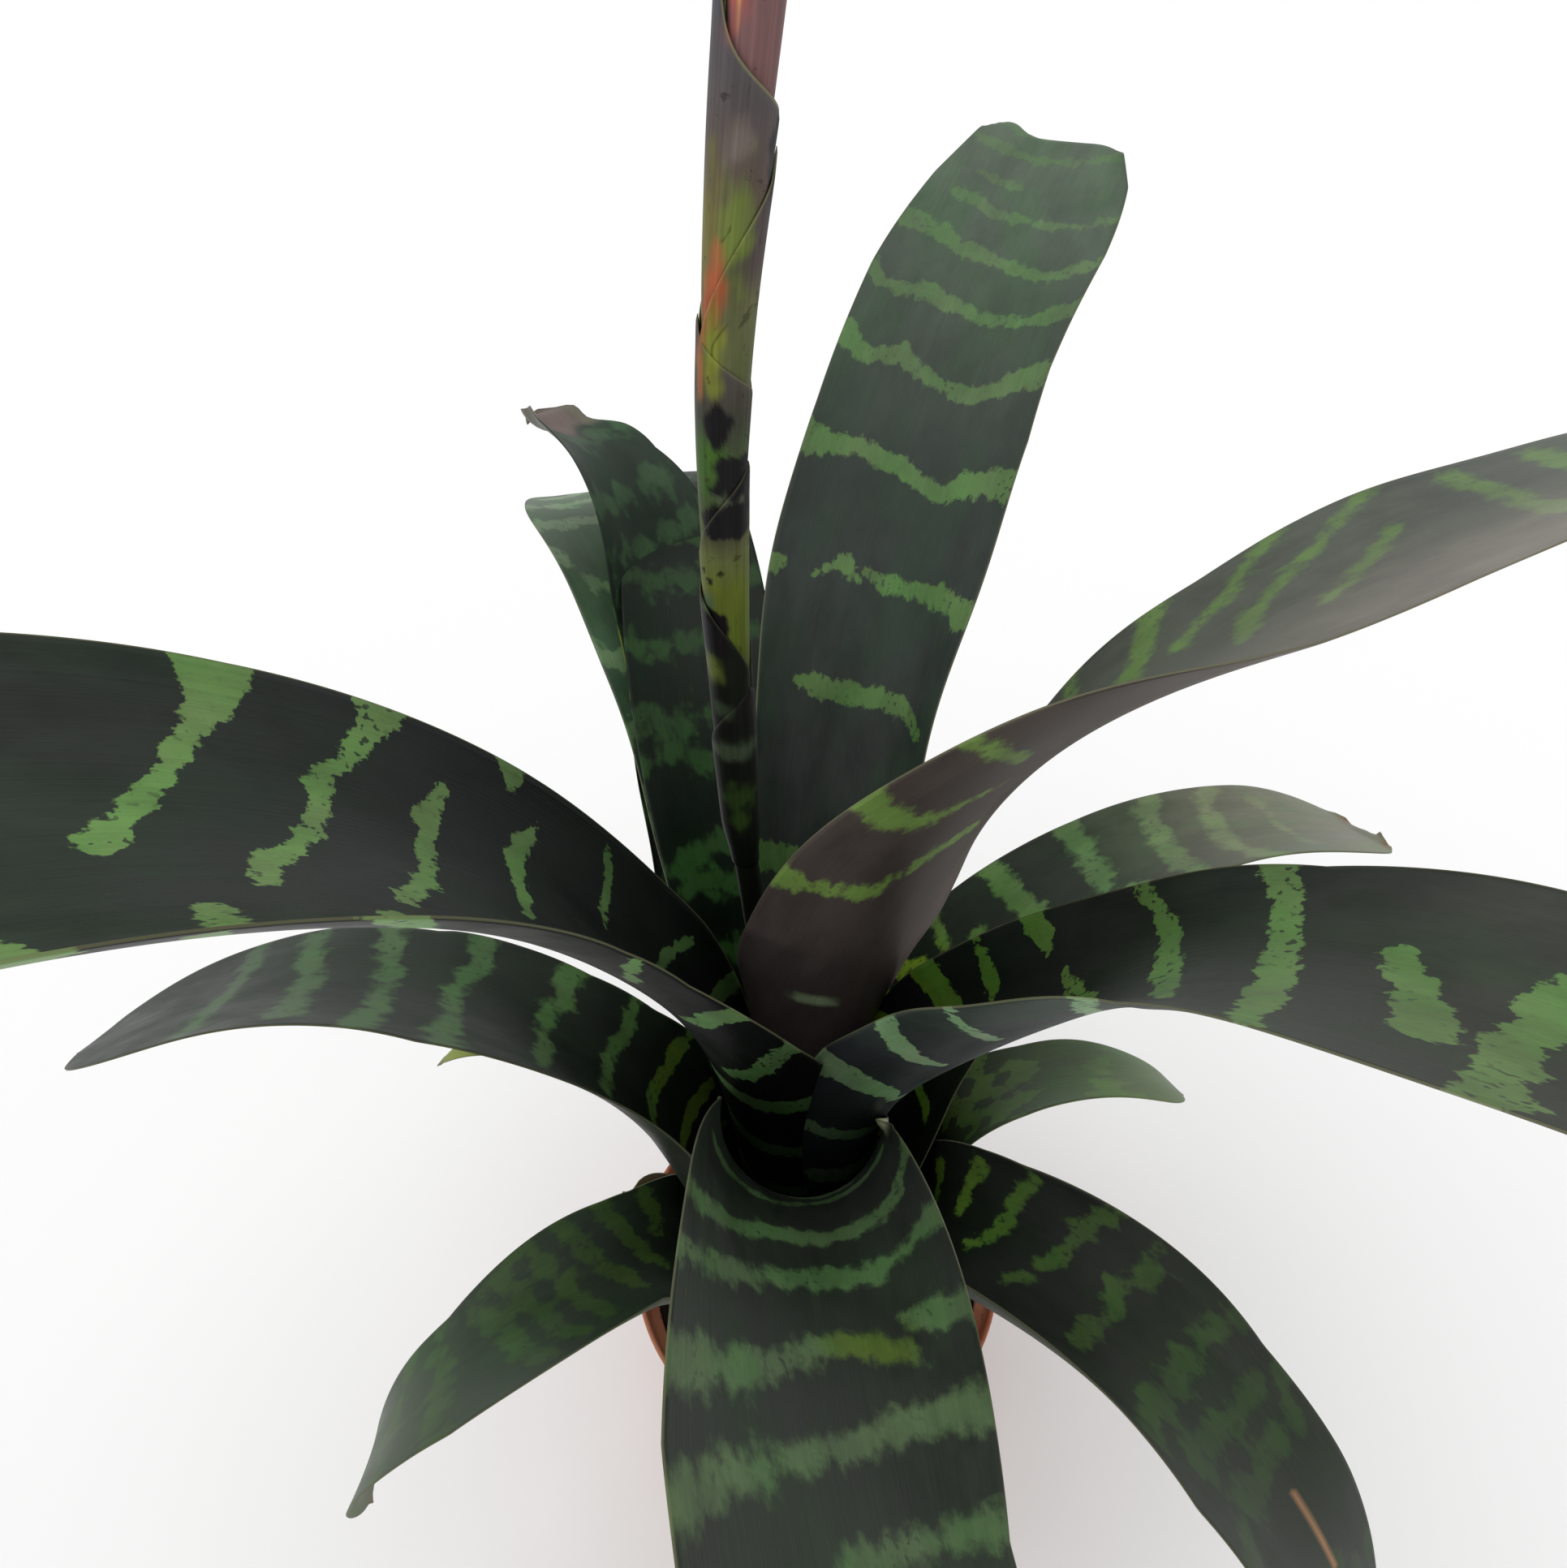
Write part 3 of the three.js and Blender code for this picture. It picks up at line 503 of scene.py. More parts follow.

# colours near the foot, low, half way and at the end of a leaf: ground, and bands where they show
# under: what the under side's ground and bands are multiplied by. underGround, underBand: its own colours
# and the paler ground and bands towards the end are partly a painted sheen of reflected light
# in most looks the darkest ground near the foot is painted shade of the rosette's heart, the bright foot
# bands of several looks are painted light that lifts them out of that shade,
leafLooks = {
    "tall": dict(
        ground=[(18, 21, 18), (52, 57, 54), (46, 54, 48), (84, 98, 82)],
        band=[(50, 66, 34), (88, 118, 68), (84, 110, 66), (86, 106, 78)],
        under=((1, 0.95, 0.95), (1, 1, 1))),
    "warm": dict(
        ground=[(4, 6, 5), (16, 19, 18), (38, 42, 40), (56, 63, 53)],
        band=[(46, 66, 34), (78, 106, 62), (102, 130, 78), (110, 138, 80)],
        under=((0.62, 0.62, 0.64), (1.1, 1.1, 1.15))),
    "low": dict(
        ground=[(20, 25, 20), (27, 33, 27), (36, 43, 36), (34, 41, 34)],
        band=[(96, 120, 36), (72, 100, 54), (72, 98, 62), (62, 78, 56)],
        under=((1.2, 1.1, 1.1), (1, 1, 1))),
    "cool": dict(
        ground=[(20, 23, 20), (29, 32, 30), (40, 45, 40), (74, 75, 69)],
        band=[(120, 160, 40), (92, 126, 50), (90, 118, 70), (98, 118, 77)],
        underGround=[(30, 33, 34), (46, 48, 52), (74, 77, 77), (140, 134, 135)],
        underBand=[(60, 80, 56), (124, 150, 112), (150, 172, 142), (150, 165, 145)]),
    "front": dict(
        ground=[(96, 102, 94), (47, 51, 46), (42, 48, 41), (62, 68, 59)],
        band=[(160, 190, 146), (88, 116, 76), (82, 102, 70), (72, 96, 60)],
        under=((1.4, 1.4, 1.4), (1, 1, 1))),
    "brownUnder": dict(
        ground=[(16, 19, 16), (38, 42, 36), (70, 75, 66), (92, 97, 90)],
        band=[(48, 70, 30), (72, 95, 45), (86, 112, 60), (102, 124, 87)],
        underGround=[(66, 57, 60), (94, 84, 81), (92, 84, 78), (96, 90, 84)],
        underBand=[(96, 126, 54), (144, 180, 92), (116, 142, 82), (108, 124, 88)]),
    "brownEnd": dict(
        ground=[(18, 21, 16), (32, 39, 31), (46, 54, 44), (120, 121, 104)],
        band=[(124, 160, 46), (94, 128, 56), (92, 120, 76), (130, 132, 106)],
        underGround=[(18, 20, 16), (32, 37, 30), (46, 52, 42), (120, 116, 100)],
        underBand=[(50, 70, 38), (80, 110, 58), (90, 116, 76), (128, 130, 106)]),
    "deep": dict(
        ground=[(22, 26, 21), (36, 40, 35), (45, 50, 42), (43, 48, 40)],
        band=[(138, 176, 64), (70, 96, 46), (54, 70, 44), (48, 60, 42)],
        underGround=[(28, 31, 25), (45, 48, 42), (56, 60, 50), (54, 58, 48)],
        underBand=[(54, 72, 42), (72, 98, 50), (60, 76, 50), (54, 66, 47)]),
    "green": dict(
        ground=[(24, 29, 22), (50, 60, 49), (60, 71, 58), (80, 92, 72)],
        band=[(80, 106, 40), (64, 86, 48), (68, 88, 58), (82, 98, 69)],
        under=((1.2, 1.15, 1.15), (1, 1, 1))),
    "fresh": dict(
        ground=[(24, 29, 20), (38, 46, 30), (62, 76, 52), (110, 128, 92)],
        band=[(84, 112, 34), (84, 112, 46), (88, 112, 62), (114, 134, 92)],
        under=((1.2, 1.15, 1.15), (1, 1, 1))),
    "dark": dict(
        ground=[(7, 12, 7), (8, 18, 9), (12, 24, 13), (40, 52, 42)],
        band=[(30, 46, 22), (40, 68, 32), (42, 68, 36), (54, 76, 54)],
        under=((1.1, 1.05, 1.05), (1, 1, 1))),
    "dusk": dict(
        ground=[(7, 12, 7), (8, 18, 9), (10, 22, 11), (9, 20, 10)],
        band=[(30, 46, 22), (40, 68, 32), (36, 60, 30), (34, 56, 28)],
        under=((1.1, 1.05, 1.05), (1, 1, 1))),
    "pale": dict(
        ground=[(16, 21, 16), (34, 46, 35), (58, 76, 60), (86, 104, 84)],
        band=[(36, 54, 30), (66, 90, 58), (92, 116, 82), (118, 138, 110)]),
    "young": dict(
        ground=[(60, 74, 28), (104, 120, 42), (128, 142, 58), (140, 150, 70)]),
    "dry": dict(
        ground=[(34, 24, 18), (52, 36, 26), (72, 52, 40), (84, 64, 48)]),
}
leafSkin = {
    "lookPlaces": (0.2, 0.42, 0.62, 0.92),  # where along the leaf the four colours stand
    "jag": 1.1,            # how far a band's edge strays, millimetres
    "teeth": 0.35,         # the same, finer
    "waver": 0.7,          # and how far it wanders in long waves
    "mottleReach": 4.5,    # how far patchy bands stray beyond that
    "greener": (0.87, 1.06, 0.87),   # what patches of the ground are multiplied by
    "holes": 0.85,         # how dark the specks inside the bands are
    "oliveShare": 0.85,
    "marginTone": (110, 110, 80),
    "marginWidth": 0.3,
    "scarTone": (150, 112, 80),
    "scarWidth": 0.035,
    "dryTip": (5, 2),      # the tip turns dry between these distances from its end
    "veinShade": 0.06,
    "cloudShade": 0.2,
    "veinDepth": 0.00012,
    "roughness": (0.38, 0.54),
    "gloss": 0.16,
    # how fine each grain is along the leaf, across it and between leaves
    "grains": {
        "lobes": (0.32, 0.42, 1), "teeth": (1.2, 1.7, 1), "wander": (0.12, 0.18, 1),
        "holes": (0.55, 0.7, 1), "holeFields": (0.05, 0.06, 1), "veins": (0.015, 2.4, 1),
        "cloud": (0.045, 0.085, 1), "greener": (0.03, 0.05, 1), "fine": (1.2, 3.0, 1),
    },
}


def leafCurve(shape, build):
    # middle, across and up at each station, with the station's share of the length
    count = round(shape["length"] / build["station"])
    along = np.linspace(0, 1, count + 1)
    heading = np.radians(shape["heading"] + shape["swing"] * smoothStep(along, *shape["swingAt"]))
    rise = np.radians(np.interp(along, np.linspace(0, 1, len(shape["rise"])), shape["rise"]))
    reach = round(build["riseBlend"] * count)
    blend = np.full(2 * reach + 1, 1 / (2 * reach + 1))
    rise = np.convolve(np.pad(rise, reach, mode="edge"), blend, mode="valid")
    turn, twist = shape["turn"], shape["twist"]
    roll = np.radians(turn + (twist - turn) * smoothStep(along, *shape["twistAt"]))
    forward = onCircle(heading, np.cos(rise), np.sin(rise))
    flat = np.stack([-np.sin(heading), np.cos(heading), np.zeros_like(heading)], axis=1)
    lift = np.cross(forward, flat)
    turnCos, turnSin = np.cos(roll)[:, None], np.sin(roll)[:, None]
    across = flat * turnCos + lift * turnSin
    up = lift * turnCos - flat * turnSin
    foot = math.radians(shape["heading"] + turn)
    start = np.array([shape["seat"] * math.cos(foot), shape["seat"] * math.sin(foot), build["foot"]])
    steps = (forward[1:] + forward[:-1]) / 2 * shape["length"] / count
    middle = start + np.concatenate([np.zeros((1, 3)), np.cumsum(steps, axis=0)])
    return along, middle, across, up


def leafHalfWidth(shape, along, build):
    seats, most, part = build["sheathHalf"]
    sheath = min(seats * shape["seat"], most, part * shape["width"])
    body = np.interp(along, build["widthPlaces"], [sheath, sheath, shape["width"] / 2])
    place = along * shape["length"]
    end = shape["length"] - build["apex"]
    intoTip = np.clip((place - end + shape["tip"]) / shape["tip"], 0, 1)
    blade = body * np.sqrt(1 - intoTip ** shape["point"])
    apex = build["apexHalf"] * np.clip((shape["length"] - place) / build["apex"], build["apexBlunt"], 1)
    return np.maximum(blade, apex)


def leafArcRadius(shape, along, build):
    seat, throat, blade = shape["seat"], shape["throat"], shape["blade"]
    radii = np.array([seat, 1.1 * seat, throat, blade, 1.3 * blade])
    return 1 / np.interp(along, build["arcPlaces"], 1 / radii)


def foldEnd(sheet, across, place, share, fold):
    # bends the end of the sheet down about its width, from a wavy line on
    start = np.interp(share[0], *np.array(fold["line"]).T)
    for _ in range(3):
        start = np.convolve(np.pad(start, 1, mode="edge"), (0.25, 0.5, 0.25), mode="valid")
    start = fold["at"] + start
    angle = np.radians(fold["by"]) * smoothStep(place - start, 0, fold["over"])
    steps = np.diff(sheet, axis=0)
    angle = ((angle[1:] + angle[:-1]) / 2)[..., None]
    axis = np.broadcast_to(across[1:, None], steps.shape)
    aside = axis * np.sum(axis * steps, axis=-1, keepdims=True)
    turned = (steps - aside) * np.cos(angle) + np.cross(axis, steps) * np.sin(angle) + aside
    return np.concatenate([sheet[:1], sheet[:1] + np.cumsum(turned, axis=0)])


def facing(sheet, inward):
    # the sheet's own upright direction at every point
    normal = np.cross(np.gradient(sheet, axis=0), np.gradient(sheet, axis=1))
    normal /= np.maximum(np.linalg.norm(normal, axis=-1, keepdims=True), 1e-9)
    return normal if np.sum(normal[0] * inward[0]) > 0 else -normal


def spareBands(shape, made):
    # bands for the stretches where none is given
    draw = random.Random(shape["seed"])
    below, beyond = shape["spare"]
    places = []
    place = below - draw.uniform(*made["gap"])
    while place > made["clearFoot"]:
        places.append(place)
        place -= draw.uniform(*made["spacing"])
    place = beyond + draw.uniform(*made["gap"])
    while place < shape["length"] - made["clearEnd"]:
        places.append(place)
        place += draw.uniform(*made["spacing"])
    bands = []
    for place in places:
        start, end = draw.choice(made["spans"])
        drift, band = draw.uniform(-made["slip"], made["slip"]), []
        for side in np.linspace(start, end, made["knots"]):
            band.append((side, place + drift, draw.uniform(*made["width"])))
            drift += draw.uniform(-made["wander"], made["wander"])
        bands.append(band)
    return bands


def bandEdges(shape, place, share, half):
    # distance to the nearest band's edge, millimetres, above 0 inside a band
    nearest = np.full(place.shape, -30.0)
    for band in shape["bands"] + spareBands(shape, madeBands):
        sides, middles, widths = np.array(sorted(band), float).T
        middle, wide = np.interp(share, sides, middles), np.interp(share, sides, widths)
        slope = np.gradient(middle, axis=1) / np.maximum(np.gradient(share * half, axis=1), 0.05)
        inside = (wide / 2 - np.abs(place - middle)) / np.hypot(1, slope)
        past = np.maximum(0, np.maximum(share - sides[-1], sides[0] - share)) * half
        beyond = wide / 2 - np.hypot(past, place - middle)
        nearest = np.maximum(nearest, np.where(past > 0, beyond, inside))
    return nearest


def leafSides(shape, place, share, half):
    # how far each point stands from the middle line, after trimming and shrinking
    aside = share * half
    for key, way in (("plus", 1), ("minus", -1)):
        if key in shape["trim"]:
            kept = np.interp(place, *np.array(shape["trim"][key], float).T)
            aside = np.where(share * way > 0, aside * kept, aside)
    if shape["withered"]:
        ragged = 1 + ripple(place / 1.6, np.sign(share) * 3, shape["seed"] + 4)
        aside = aside * (1 - leafWither["shrink"] * witheredShare(shape, place) * ragged)
    return aside


def witheredShare(shape, place):
    return smoothStep(place, shape["length"] - shape["withered"], shape["length"])


def leafRelief(shape, build, place, share, aside, half):
    # how far each point lifts off the smooth sheet: swells, wavy margins, crumples and a knob
    seed = shape["seed"]
    free = smoothStep(place, *build["swellFrom"]) * smoothStep(half, *build["swellHalf"])
    long, wide = build["swellLength"]
    lift = build["swell"] * ripple(place / long, aside / wide, seed) * free
    wave = ripple(place / build["waveLength"], np.sign(share) * 3, seed + 50)
    lift += build["edgeWave"] * np.abs(share) ** 3 * wave * free
    if shape["crumple"]:
        lift += shape["crumple"] * ripple(place / 7, aside / 4, seed + 9) * smoothStep(place, 6, 30)
    if shape["withered"]:
        crumple = leafWither["crumple"] * ripple(place / 3.2, aside / 3, seed + 3)
        lift += witheredShare(shape, place) * (crumple + leafWither["cup"] * share ** 2)
    if shape["nub"]:
        side, distance, tall, reach = shape["nub"]
        lift += tall * np.exp(-((place - distance) / reach) ** 2 - ((aside - side * half) / reach) ** 2)
    return lift


def leafLayers(shape, skin, place, share, aside, half):
    # what is laid over the ground and the bands: amount, colour, and which of the two it covers
    seed, length = shape["seed"], shape["length"]
    olive = np.zeros(place.shape)
    for side, distance, size in shape["olive"]:
        reach = np.hypot(aside - side * half, place - distance)
        olive = np.maximum(olive, smoothStep(reach, size, size * 0.4))
    layers = [(skin["oliveShare"] * olive, shape["oliveTone"], "band")]
    for side, distance, tall, wide, colour in shape["spots"]:
        reach = np.hypot((place - distance) / tall, (aside - side * half) / wide)
        reach = reach + 0.15 * ripple(place / 2, aside / 2, seed)
        layers.append((smoothStep(reach, 1.2, 0.75), colour, "both"))
    # a painted pale sheen of reflected light, laid over one side of the end
    if shape["paintedSheen"]:
        side, start, full, most, colour = shape["paintedSheen"]
        amount = most * smoothStep(place, start, full) * smoothStep(side * share, -0.6, 0.7)
        layers.append((amount, colour, "both"))
    dry = smoothStep(place, length - skin["dryTip"][0], length - skin["dryTip"][1])
    if shape["withered"]:
        edge = length - leafWither["brown"] * shape["withered"]
        dry = np.maximum(dry, smoothStep(place + 3 * ripple(aside / 3, aside / 7, seed), edge, edge + 5))
    layers.append((dry, shape["dryTone"], "both"))
    if shape["scar"]:
        start, end, level = shape["scar"]
        scar = 1.0 * (place > start) * (place < end) * (np.abs(share - level) < skin["scarWidth"])
        layers.append((scar, skin["scarTone"], "both"))
    return layers


def paintLeaf(mesh, look, along, layers, columns):
    # ground and band colours of both sides, at every point, with the painted shade, light and sheen that the
    # looks and layers carry
    places = leafSkin["lookPlaces"]
    for key, tint in zip(("ground", "band"), look.get("under", [(1, 1, 1)] * 2)):
        tones = look.get(key, look["ground"])
        above = rampColours(places, tones, along)
        below = rampColours(places, look.get("under" + key.title(), tones), along, tint)
        sides = []
        for colours in (above, below):
            grid = np.repeat(colours[:, None], columns, axis=1)
            for amount, colour, covered in layers:
                if covered in (key, "both"):
                    grid = grid + (np.array(tone(*colour)) - grid) * amount[..., None]
            sides.append(grid)
        setVectors(mesh, key + "Tone", bothSides(*sides))


def makeLeaf(name, index, material):
    build = leafBuild
    shape = {**leafCommon, **leafShapes[name]}
    shape["seat"] = build["innerSeat"] + build["seatStep"] * index
    shape["seed"] = build["firstSeed"] + index
    along, middle, across, up = leafCurve(shape, build)
    half = leafHalfWidth(shape, along, build)[:, None]
    radius = leafArcRadius(shape, along, build)[:, None]
    even = np.linspace(-1, 1, build["columns"] + 1)
    share = 0.35 * np.sin(even * math.pi / 2) + 0.65 * even  # closer columns towards the margins
    share = np.repeat(share[None], len(along), axis=0)
    place = np.repeat(along[:, None] * shape["length"], share.shape[1], axis=1)
    aside = leafSides(shape, place, share, half)
    angle = aside / radius
    inward = up[:, None] * np.cos(angle)[..., None] - across[:, None] * np.sin(angle)[..., None]
    sheet = middle[:, None] + across[:, None] * (np.sin(angle) * radius)[..., None]
    sheet = sheet + up[:, None] * (radius - np.cos(angle) * radius)[..., None]
    sheet = sheet + inward * leafRelief(shape, build, place, share, aside, half)[..., None]
    if shape["fold"]:
        sheet = foldEnd(sheet, across, place, share, shape["fold"])

    thick = build["edgeThick"] + (build["middleThick"] - build["edgeThick"]) * (1 - share ** 4)
    thick = thick * np.clip(half / 6, 0.45, 1)  # thinner where the leaf is narrow
    offset = facing(sheet, inward) * thick[..., None] / 2
    upper, under = sheet + offset, sheet - offset
    for side in (upper, under):
        side[..., 0] += build["lean"] * (side[..., 2] - build["foot"])
    mesh = closedSheet(name, upper * mm, under * mm)

    layers = leafLayers(shape, leafSkin, place, share, aside, half)
    paintLeaf(mesh, leafLooks[shape["look"]], along, layers, share.shape[1])
    where = np.stack([place, aside, np.full(place.shape, 40.0 * index)], axis=-1)
    toBand = bandEdges(shape, place, share, half)
    toMargin = np.minimum(half * (1 - np.abs(share)), shape["length"] - place) + 1 - shape["edge"]
    marks = np.stack([toBand, toMargin, np.full(place.shape, float(shape["green"]))], axis=-1)
    outward = smoothStep(place, 60, 0.75 * shape["length"])
    soft, mottle = (shape[key][0] + (shape[key][1] - shape[key][0]) * outward for key in ("soft", "mottle"))
    touch = np.stack([0.3 + 3 * soft, 1 - 0.7 * soft, mottle], axis=-1)  # edge width, holes left, patchiness
    for attribute, values in (("leafPlace", where), ("leafMarks", marks), ("leafTouch", touch)):
        setVectors(mesh, attribute, bothSides(values, values))
    addPiece(name.replace("_", "-") + "-blade", mesh, [material], [name])


def makeLeafMaterial(skin):
    material, tree, shader = newMaterial("leafSkin", Specular_IOR_Level=skin["gloss"])
    place = readAttribute(tree, "leafPlace")
    marks = splitVector(tree, readAttribute(tree, "leafMarks"))
    touch = splitVector(tree, readAttribute(tree, "leafTouch"))

    def grain(name, detail, **more):
        return noiseOf(tree, stretched(tree, place, skin["grains"][name]), detail=detail, **more)

    # the bands, with ragged edges, wandering outlines and dark specks
    edge = maths(tree, "ADD", marks[0], mapped(
        tree, grain("lobes", 3.0, roughness=0.55), 0.28, 0.72, -skin["jag"], skin["jag"], "LINEAR"))
    edge = maths(tree, "ADD", edge, mapped(
        tree, grain("teeth", 1.0), 0.25, 0.75, -skin["teeth"], skin["teeth"], "LINEAR"))
    reach = maths(tree, "ADD", maths(tree, "MULTIPLY", touch[2], skin["mottleReach"]), skin["waver"])
    wander = mapped(tree, grain("wander", 2.0), 0.3, 0.7, -1.0, 1.0, "LINEAR")
    edge = maths(tree, "ADD", edge, maths(tree, "MULTIPLY", wander, reach))
    inBand = mapped(tree, edge, maths(tree, "MULTIPLY", touch[0], -1.0), touch[0])
    holes = mapped(tree, grain("holes", 1.0), 0.6, 0.65, 0.0, skin["holes"])
    holes = maths(tree, "MULTIPLY", holes, mapped(tree, grain("holeFields", 1.0), 0.48, 0.62, 0.1, 1.0))
    holes = maths(tree, "MULTIPLY", holes, touch[1])
    inBand = maths(tree, "MULTIPLY", inBand, maths(tree, "SUBTRACT", 1.0, holes))
    colour = mixTone(tree, inBand, readAttribute(tree, "groundTone"), readAttribute(tree, "bandTone"))

    # fine veins, clouds, greener patches and the pale margin
    veins = grain("veins", 2.0)
    cloud = grain("cloud", 4.0, roughness=0.6)
    veinShade = mapped(tree, veins, 0.25, 0.75, 1 - skin["veinShade"], 1 + skin["veinShade"])
    cloudShade = mapped(tree, cloud, 0.3, 0.7, 1 - skin["cloudShade"], 1 + skin["cloudShade"])
    colour = dimmed(tree, colour, maths(tree, "MULTIPLY", veinShade, cloudShade))
    greener = maths(tree, "MULTIPLY", mapped(tree, grain("greener", 3.0), 0.42, 0.62, 0.0, 1.0), marks[2])
    colour = mixTone(tree, greener, colour, stretched(tree, colour, skin["greener"]))
    margin = mapped(tree, marks[1], skin["marginWidth"] * 0.4, skin["marginWidth"], 0.5, 0.0)
    colour = mixTone(tree, margin, colour, tone(*skin["marginTone"]))
    rough = mapped(tree, cloud, 0.3, 0.7, *skin["roughness"])
    normal = bumpOf(tree, veins, 0.5, skin["veinDepth"])
    normal = bumpOf(tree, grain("fine", 2.0), 0.25, skin["veinDepth"] / 2, normal)
    finishShader(tree, shader, colour, rough, normal)
    return material


leafMaterial = makeLeafMaterial(leafSkin)
for leafIndex, leafName in enumerate(leafShapes):
    makeLeaf(leafName, leafIndex, leafMaterial)
print("leaves made:", len(leafShapes))

# flower stalk
stalkShape = {
    "line": [(0, 0, 97.5), (-9, 3, 215), (-19, 6, 290), (-21, 5, 350), (-21, 3, 389), (-19, 1, 422),
             (-14.5, 1, 459), (-6, 2, 540), (1, 3, 616)],
    "radii": [4.2, 3.6, 2.9, 2.3, 2.3, 1.9, 1],
    "rings": 300,
    "sides": 36,
    "uneven": 0.12,        # depth of its gentle swells
    "inside": 0.1,         # how much thinner it is than the radii
    # heights and colours, from the mix to the tip
    "tones": [(97, (40, 44, 28)), (240, (22, 25, 20)), (300, (22, 26, 20)), (400, (60, 66, 40)),
              (480, (150, 60, 30)), (616, (190, 52, 26))],
}
# patches of colour on the stalk and its bracts: height, compass side, half height, half width in degrees,
# colour
stalkPatches = [
    (404.1, -100, 3.3, 30, (32, 30, 32)), (394.7, -58, 3.6, 56, (34, 32, 34)),
    (386.2, -70, 3.2, 66, (34, 32, 34)), (375.6, -146, 0.5, 9, (34, 34, 22)),
    (373.8, -127, 0.6, 9, (34, 34, 22)), (376, -96, 0.5, 6, (34, 34, 22)),
    (362, -127, 5, 46, (27, 24, 26)), (441.6, 6, 6, 34, (52, 50, 54)),
]
# the same, with edges that melt away
stalkClouds = [
    (466, -119, 9, 26, (176, 90, 84)), (466, -116, 8, 3, (204, 164, 104)),
    (443.6, -95, 3, 22, (122, 110, 104)), (432.1, -88, 8, 30, (112, 126, 62)),
    (433.4, -150, 9, 30, (116, 112, 66)), (424.9, -119, 5, 28, (178, 98, 66)),
    (420.4, -133, 3, 26, (168, 92, 62)), (415.6, -115, 6, 24, (132, 138, 58)),
    (413, -143, 5, 12, (166, 108, 62)), (396.4, -132, 6, 60, (72, 106, 46)),
    (390.9, -55, 1.6, 50, (88, 94, 76)), (368.6, -136, 2.6, 20, (90, 108, 80)),
    (353.9, -137, 4, 26, (100, 114, 50)), (343.1, -117, 1.8, 30, (58, 70, 52)),
    (332.7, -90, 2.6, 70, (70, 82, 62)), (319.1, -84, 4, 46, (54, 74, 36)),
    (312.5, -86, 4, 26, (54, 76, 34)),
]


def stalkCentre(height):
    # a smooth curve through the stalk's points, read at a height
    line = np.array(stalkShape["line"], float)
    slopes = np.gradient(line[:, :2], line[:, 2], axis=0)
    height = np.clip(np.asarray(height, float), line[0, 2], line[-1, 2])
    k = np.clip(np.searchsorted(line[:, 2], height, side="right") - 1, 0, len(line) - 2)
    gap = line[k + 1, 2] - line[k, 2]
    t = ((height - line[k, 2]) / gap)[..., None]
    gap = gap[..., None]
    a, b = line[k, :2], line[k + 1, :2]
    flat = a * (2 * t**3 - 3 * t**2 + 1) + b * (3 * t**2 - 2 * t**3)
    flat = flat + slopes[k] * gap * (t**3 - 2 * t**2 + t) + slopes[k + 1] * gap * (t**3 - t**2)
    return np.concatenate([flat, height[..., None]], axis=-1)


def stalkRadius(height):
    line, radii = stalkShape["line"], stalkShape["radii"]
    return np.interp(height, np.linspace(line[0][2], line[-1][2], len(radii)), radii)


def tubeMesh(name, rings):
    # a closed tube from rings of points; the two end rings are filled
    count, sides = rings.shape[:2]
    i, k = [a.ravel() for a in np.meshgrid(np.arange(count - 1), np.arange(sides), indexing="ij")]
    nextK = (k + 1) % sides
    low, high = i * sides, (i + 1) * sides
    faces = np.stack([low + k, low + nextK, high + nextK, high + k], axis=1).tolist()
    faces.append(list(range(sides - 1, -1, -1)))
    faces.append([(count - 1) * sides + s for s in range(sides)])
    mesh = bpy.data.meshes.new(name)
    mesh.from_pydata(rings.reshape(-1, 3).tolist(), [], faces)
    mesh.polygons.foreach_set("use_smooth", np.array([True] * (len(faces) - 2) + [False] * 2))
    return mesh


def makeStalk(material):
    line = stalkShape["line"]
    height = np.linspace(line[0][2], line[-1][2], stalkShape["rings"] + 1)
    angle = np.linspace(0, 2 * math.pi, stalkShape["sides"], endpoint=False)
    high, around = np.meshgrid(height, angle, indexing="ij")
    uneven = stalkShape["uneven"] * ripple(high / 9, 3 * np.cos(around), 4)
    reach = stalkRadius(high) + uneven - stalkShape["inside"]
    rings = stalkCentre(high) + onCircle(around, reach, 0)
    mesh = tubeMesh("stalk", rings * mm)
    colours = paintPatches(rampColours(*zip(*stalkShape["tones"]), high), high, np.degrees(around))
    setVectors(mesh, "skinTone", colours.reshape(-1, 3))
    setVectors(mesh, "skinPlace", np.stack([high, around * 3.2, 0 * high], axis=-1).reshape(-1, 3))
    addPiece("flower-stalk-core", mesh, [material], ["flower_stalk"])


# skin of the stalk and its bracts: ground colour per point, darker blotches and specks, fine lines
bractSkin = {
    "blotchTone": (26, 26, 24),
    "speckTone": (52, 40, 30),
    "marginTone": (158, 158, 98),
    "marginWidth": (0.2, 0.55),    # full up to the first, gone at the second
    "lineShade": 0.16,
    "cloudShade": 0.16,
    "lineDepth": 0.00012,
    "roughness": (0.5, 0.64),
    "gloss": 0.12,
    "waver": (0.2, 0.12),          # how far the patches' outlines stray, in wide and in narrow waves
}


def paintPatches(colours, height, side):
    # lays the clouds and patches, with wavering edges, over the colours
    wide, narrow = bractSkin["waver"]
    waver = wide * ripple(height / 1.5, side / 14, 7) + narrow * ripple(height / 0.6, side / 6, 8)
    for patches, outer, inner in ((stalkClouds, 1.5, 0.35), (stalkPatches, 1.2, 0.95)):
        for middle, compass, tall, wide, colour in patches:
            turned = (side - compass + 180) % 360 - 180
            share = smoothStep(np.hypot((height - middle) / tall, turned / wide) + waver, outer, inner)
            colours = colours + (np.array(tone(*colour)) - colours) * share[..., None]
    return colours


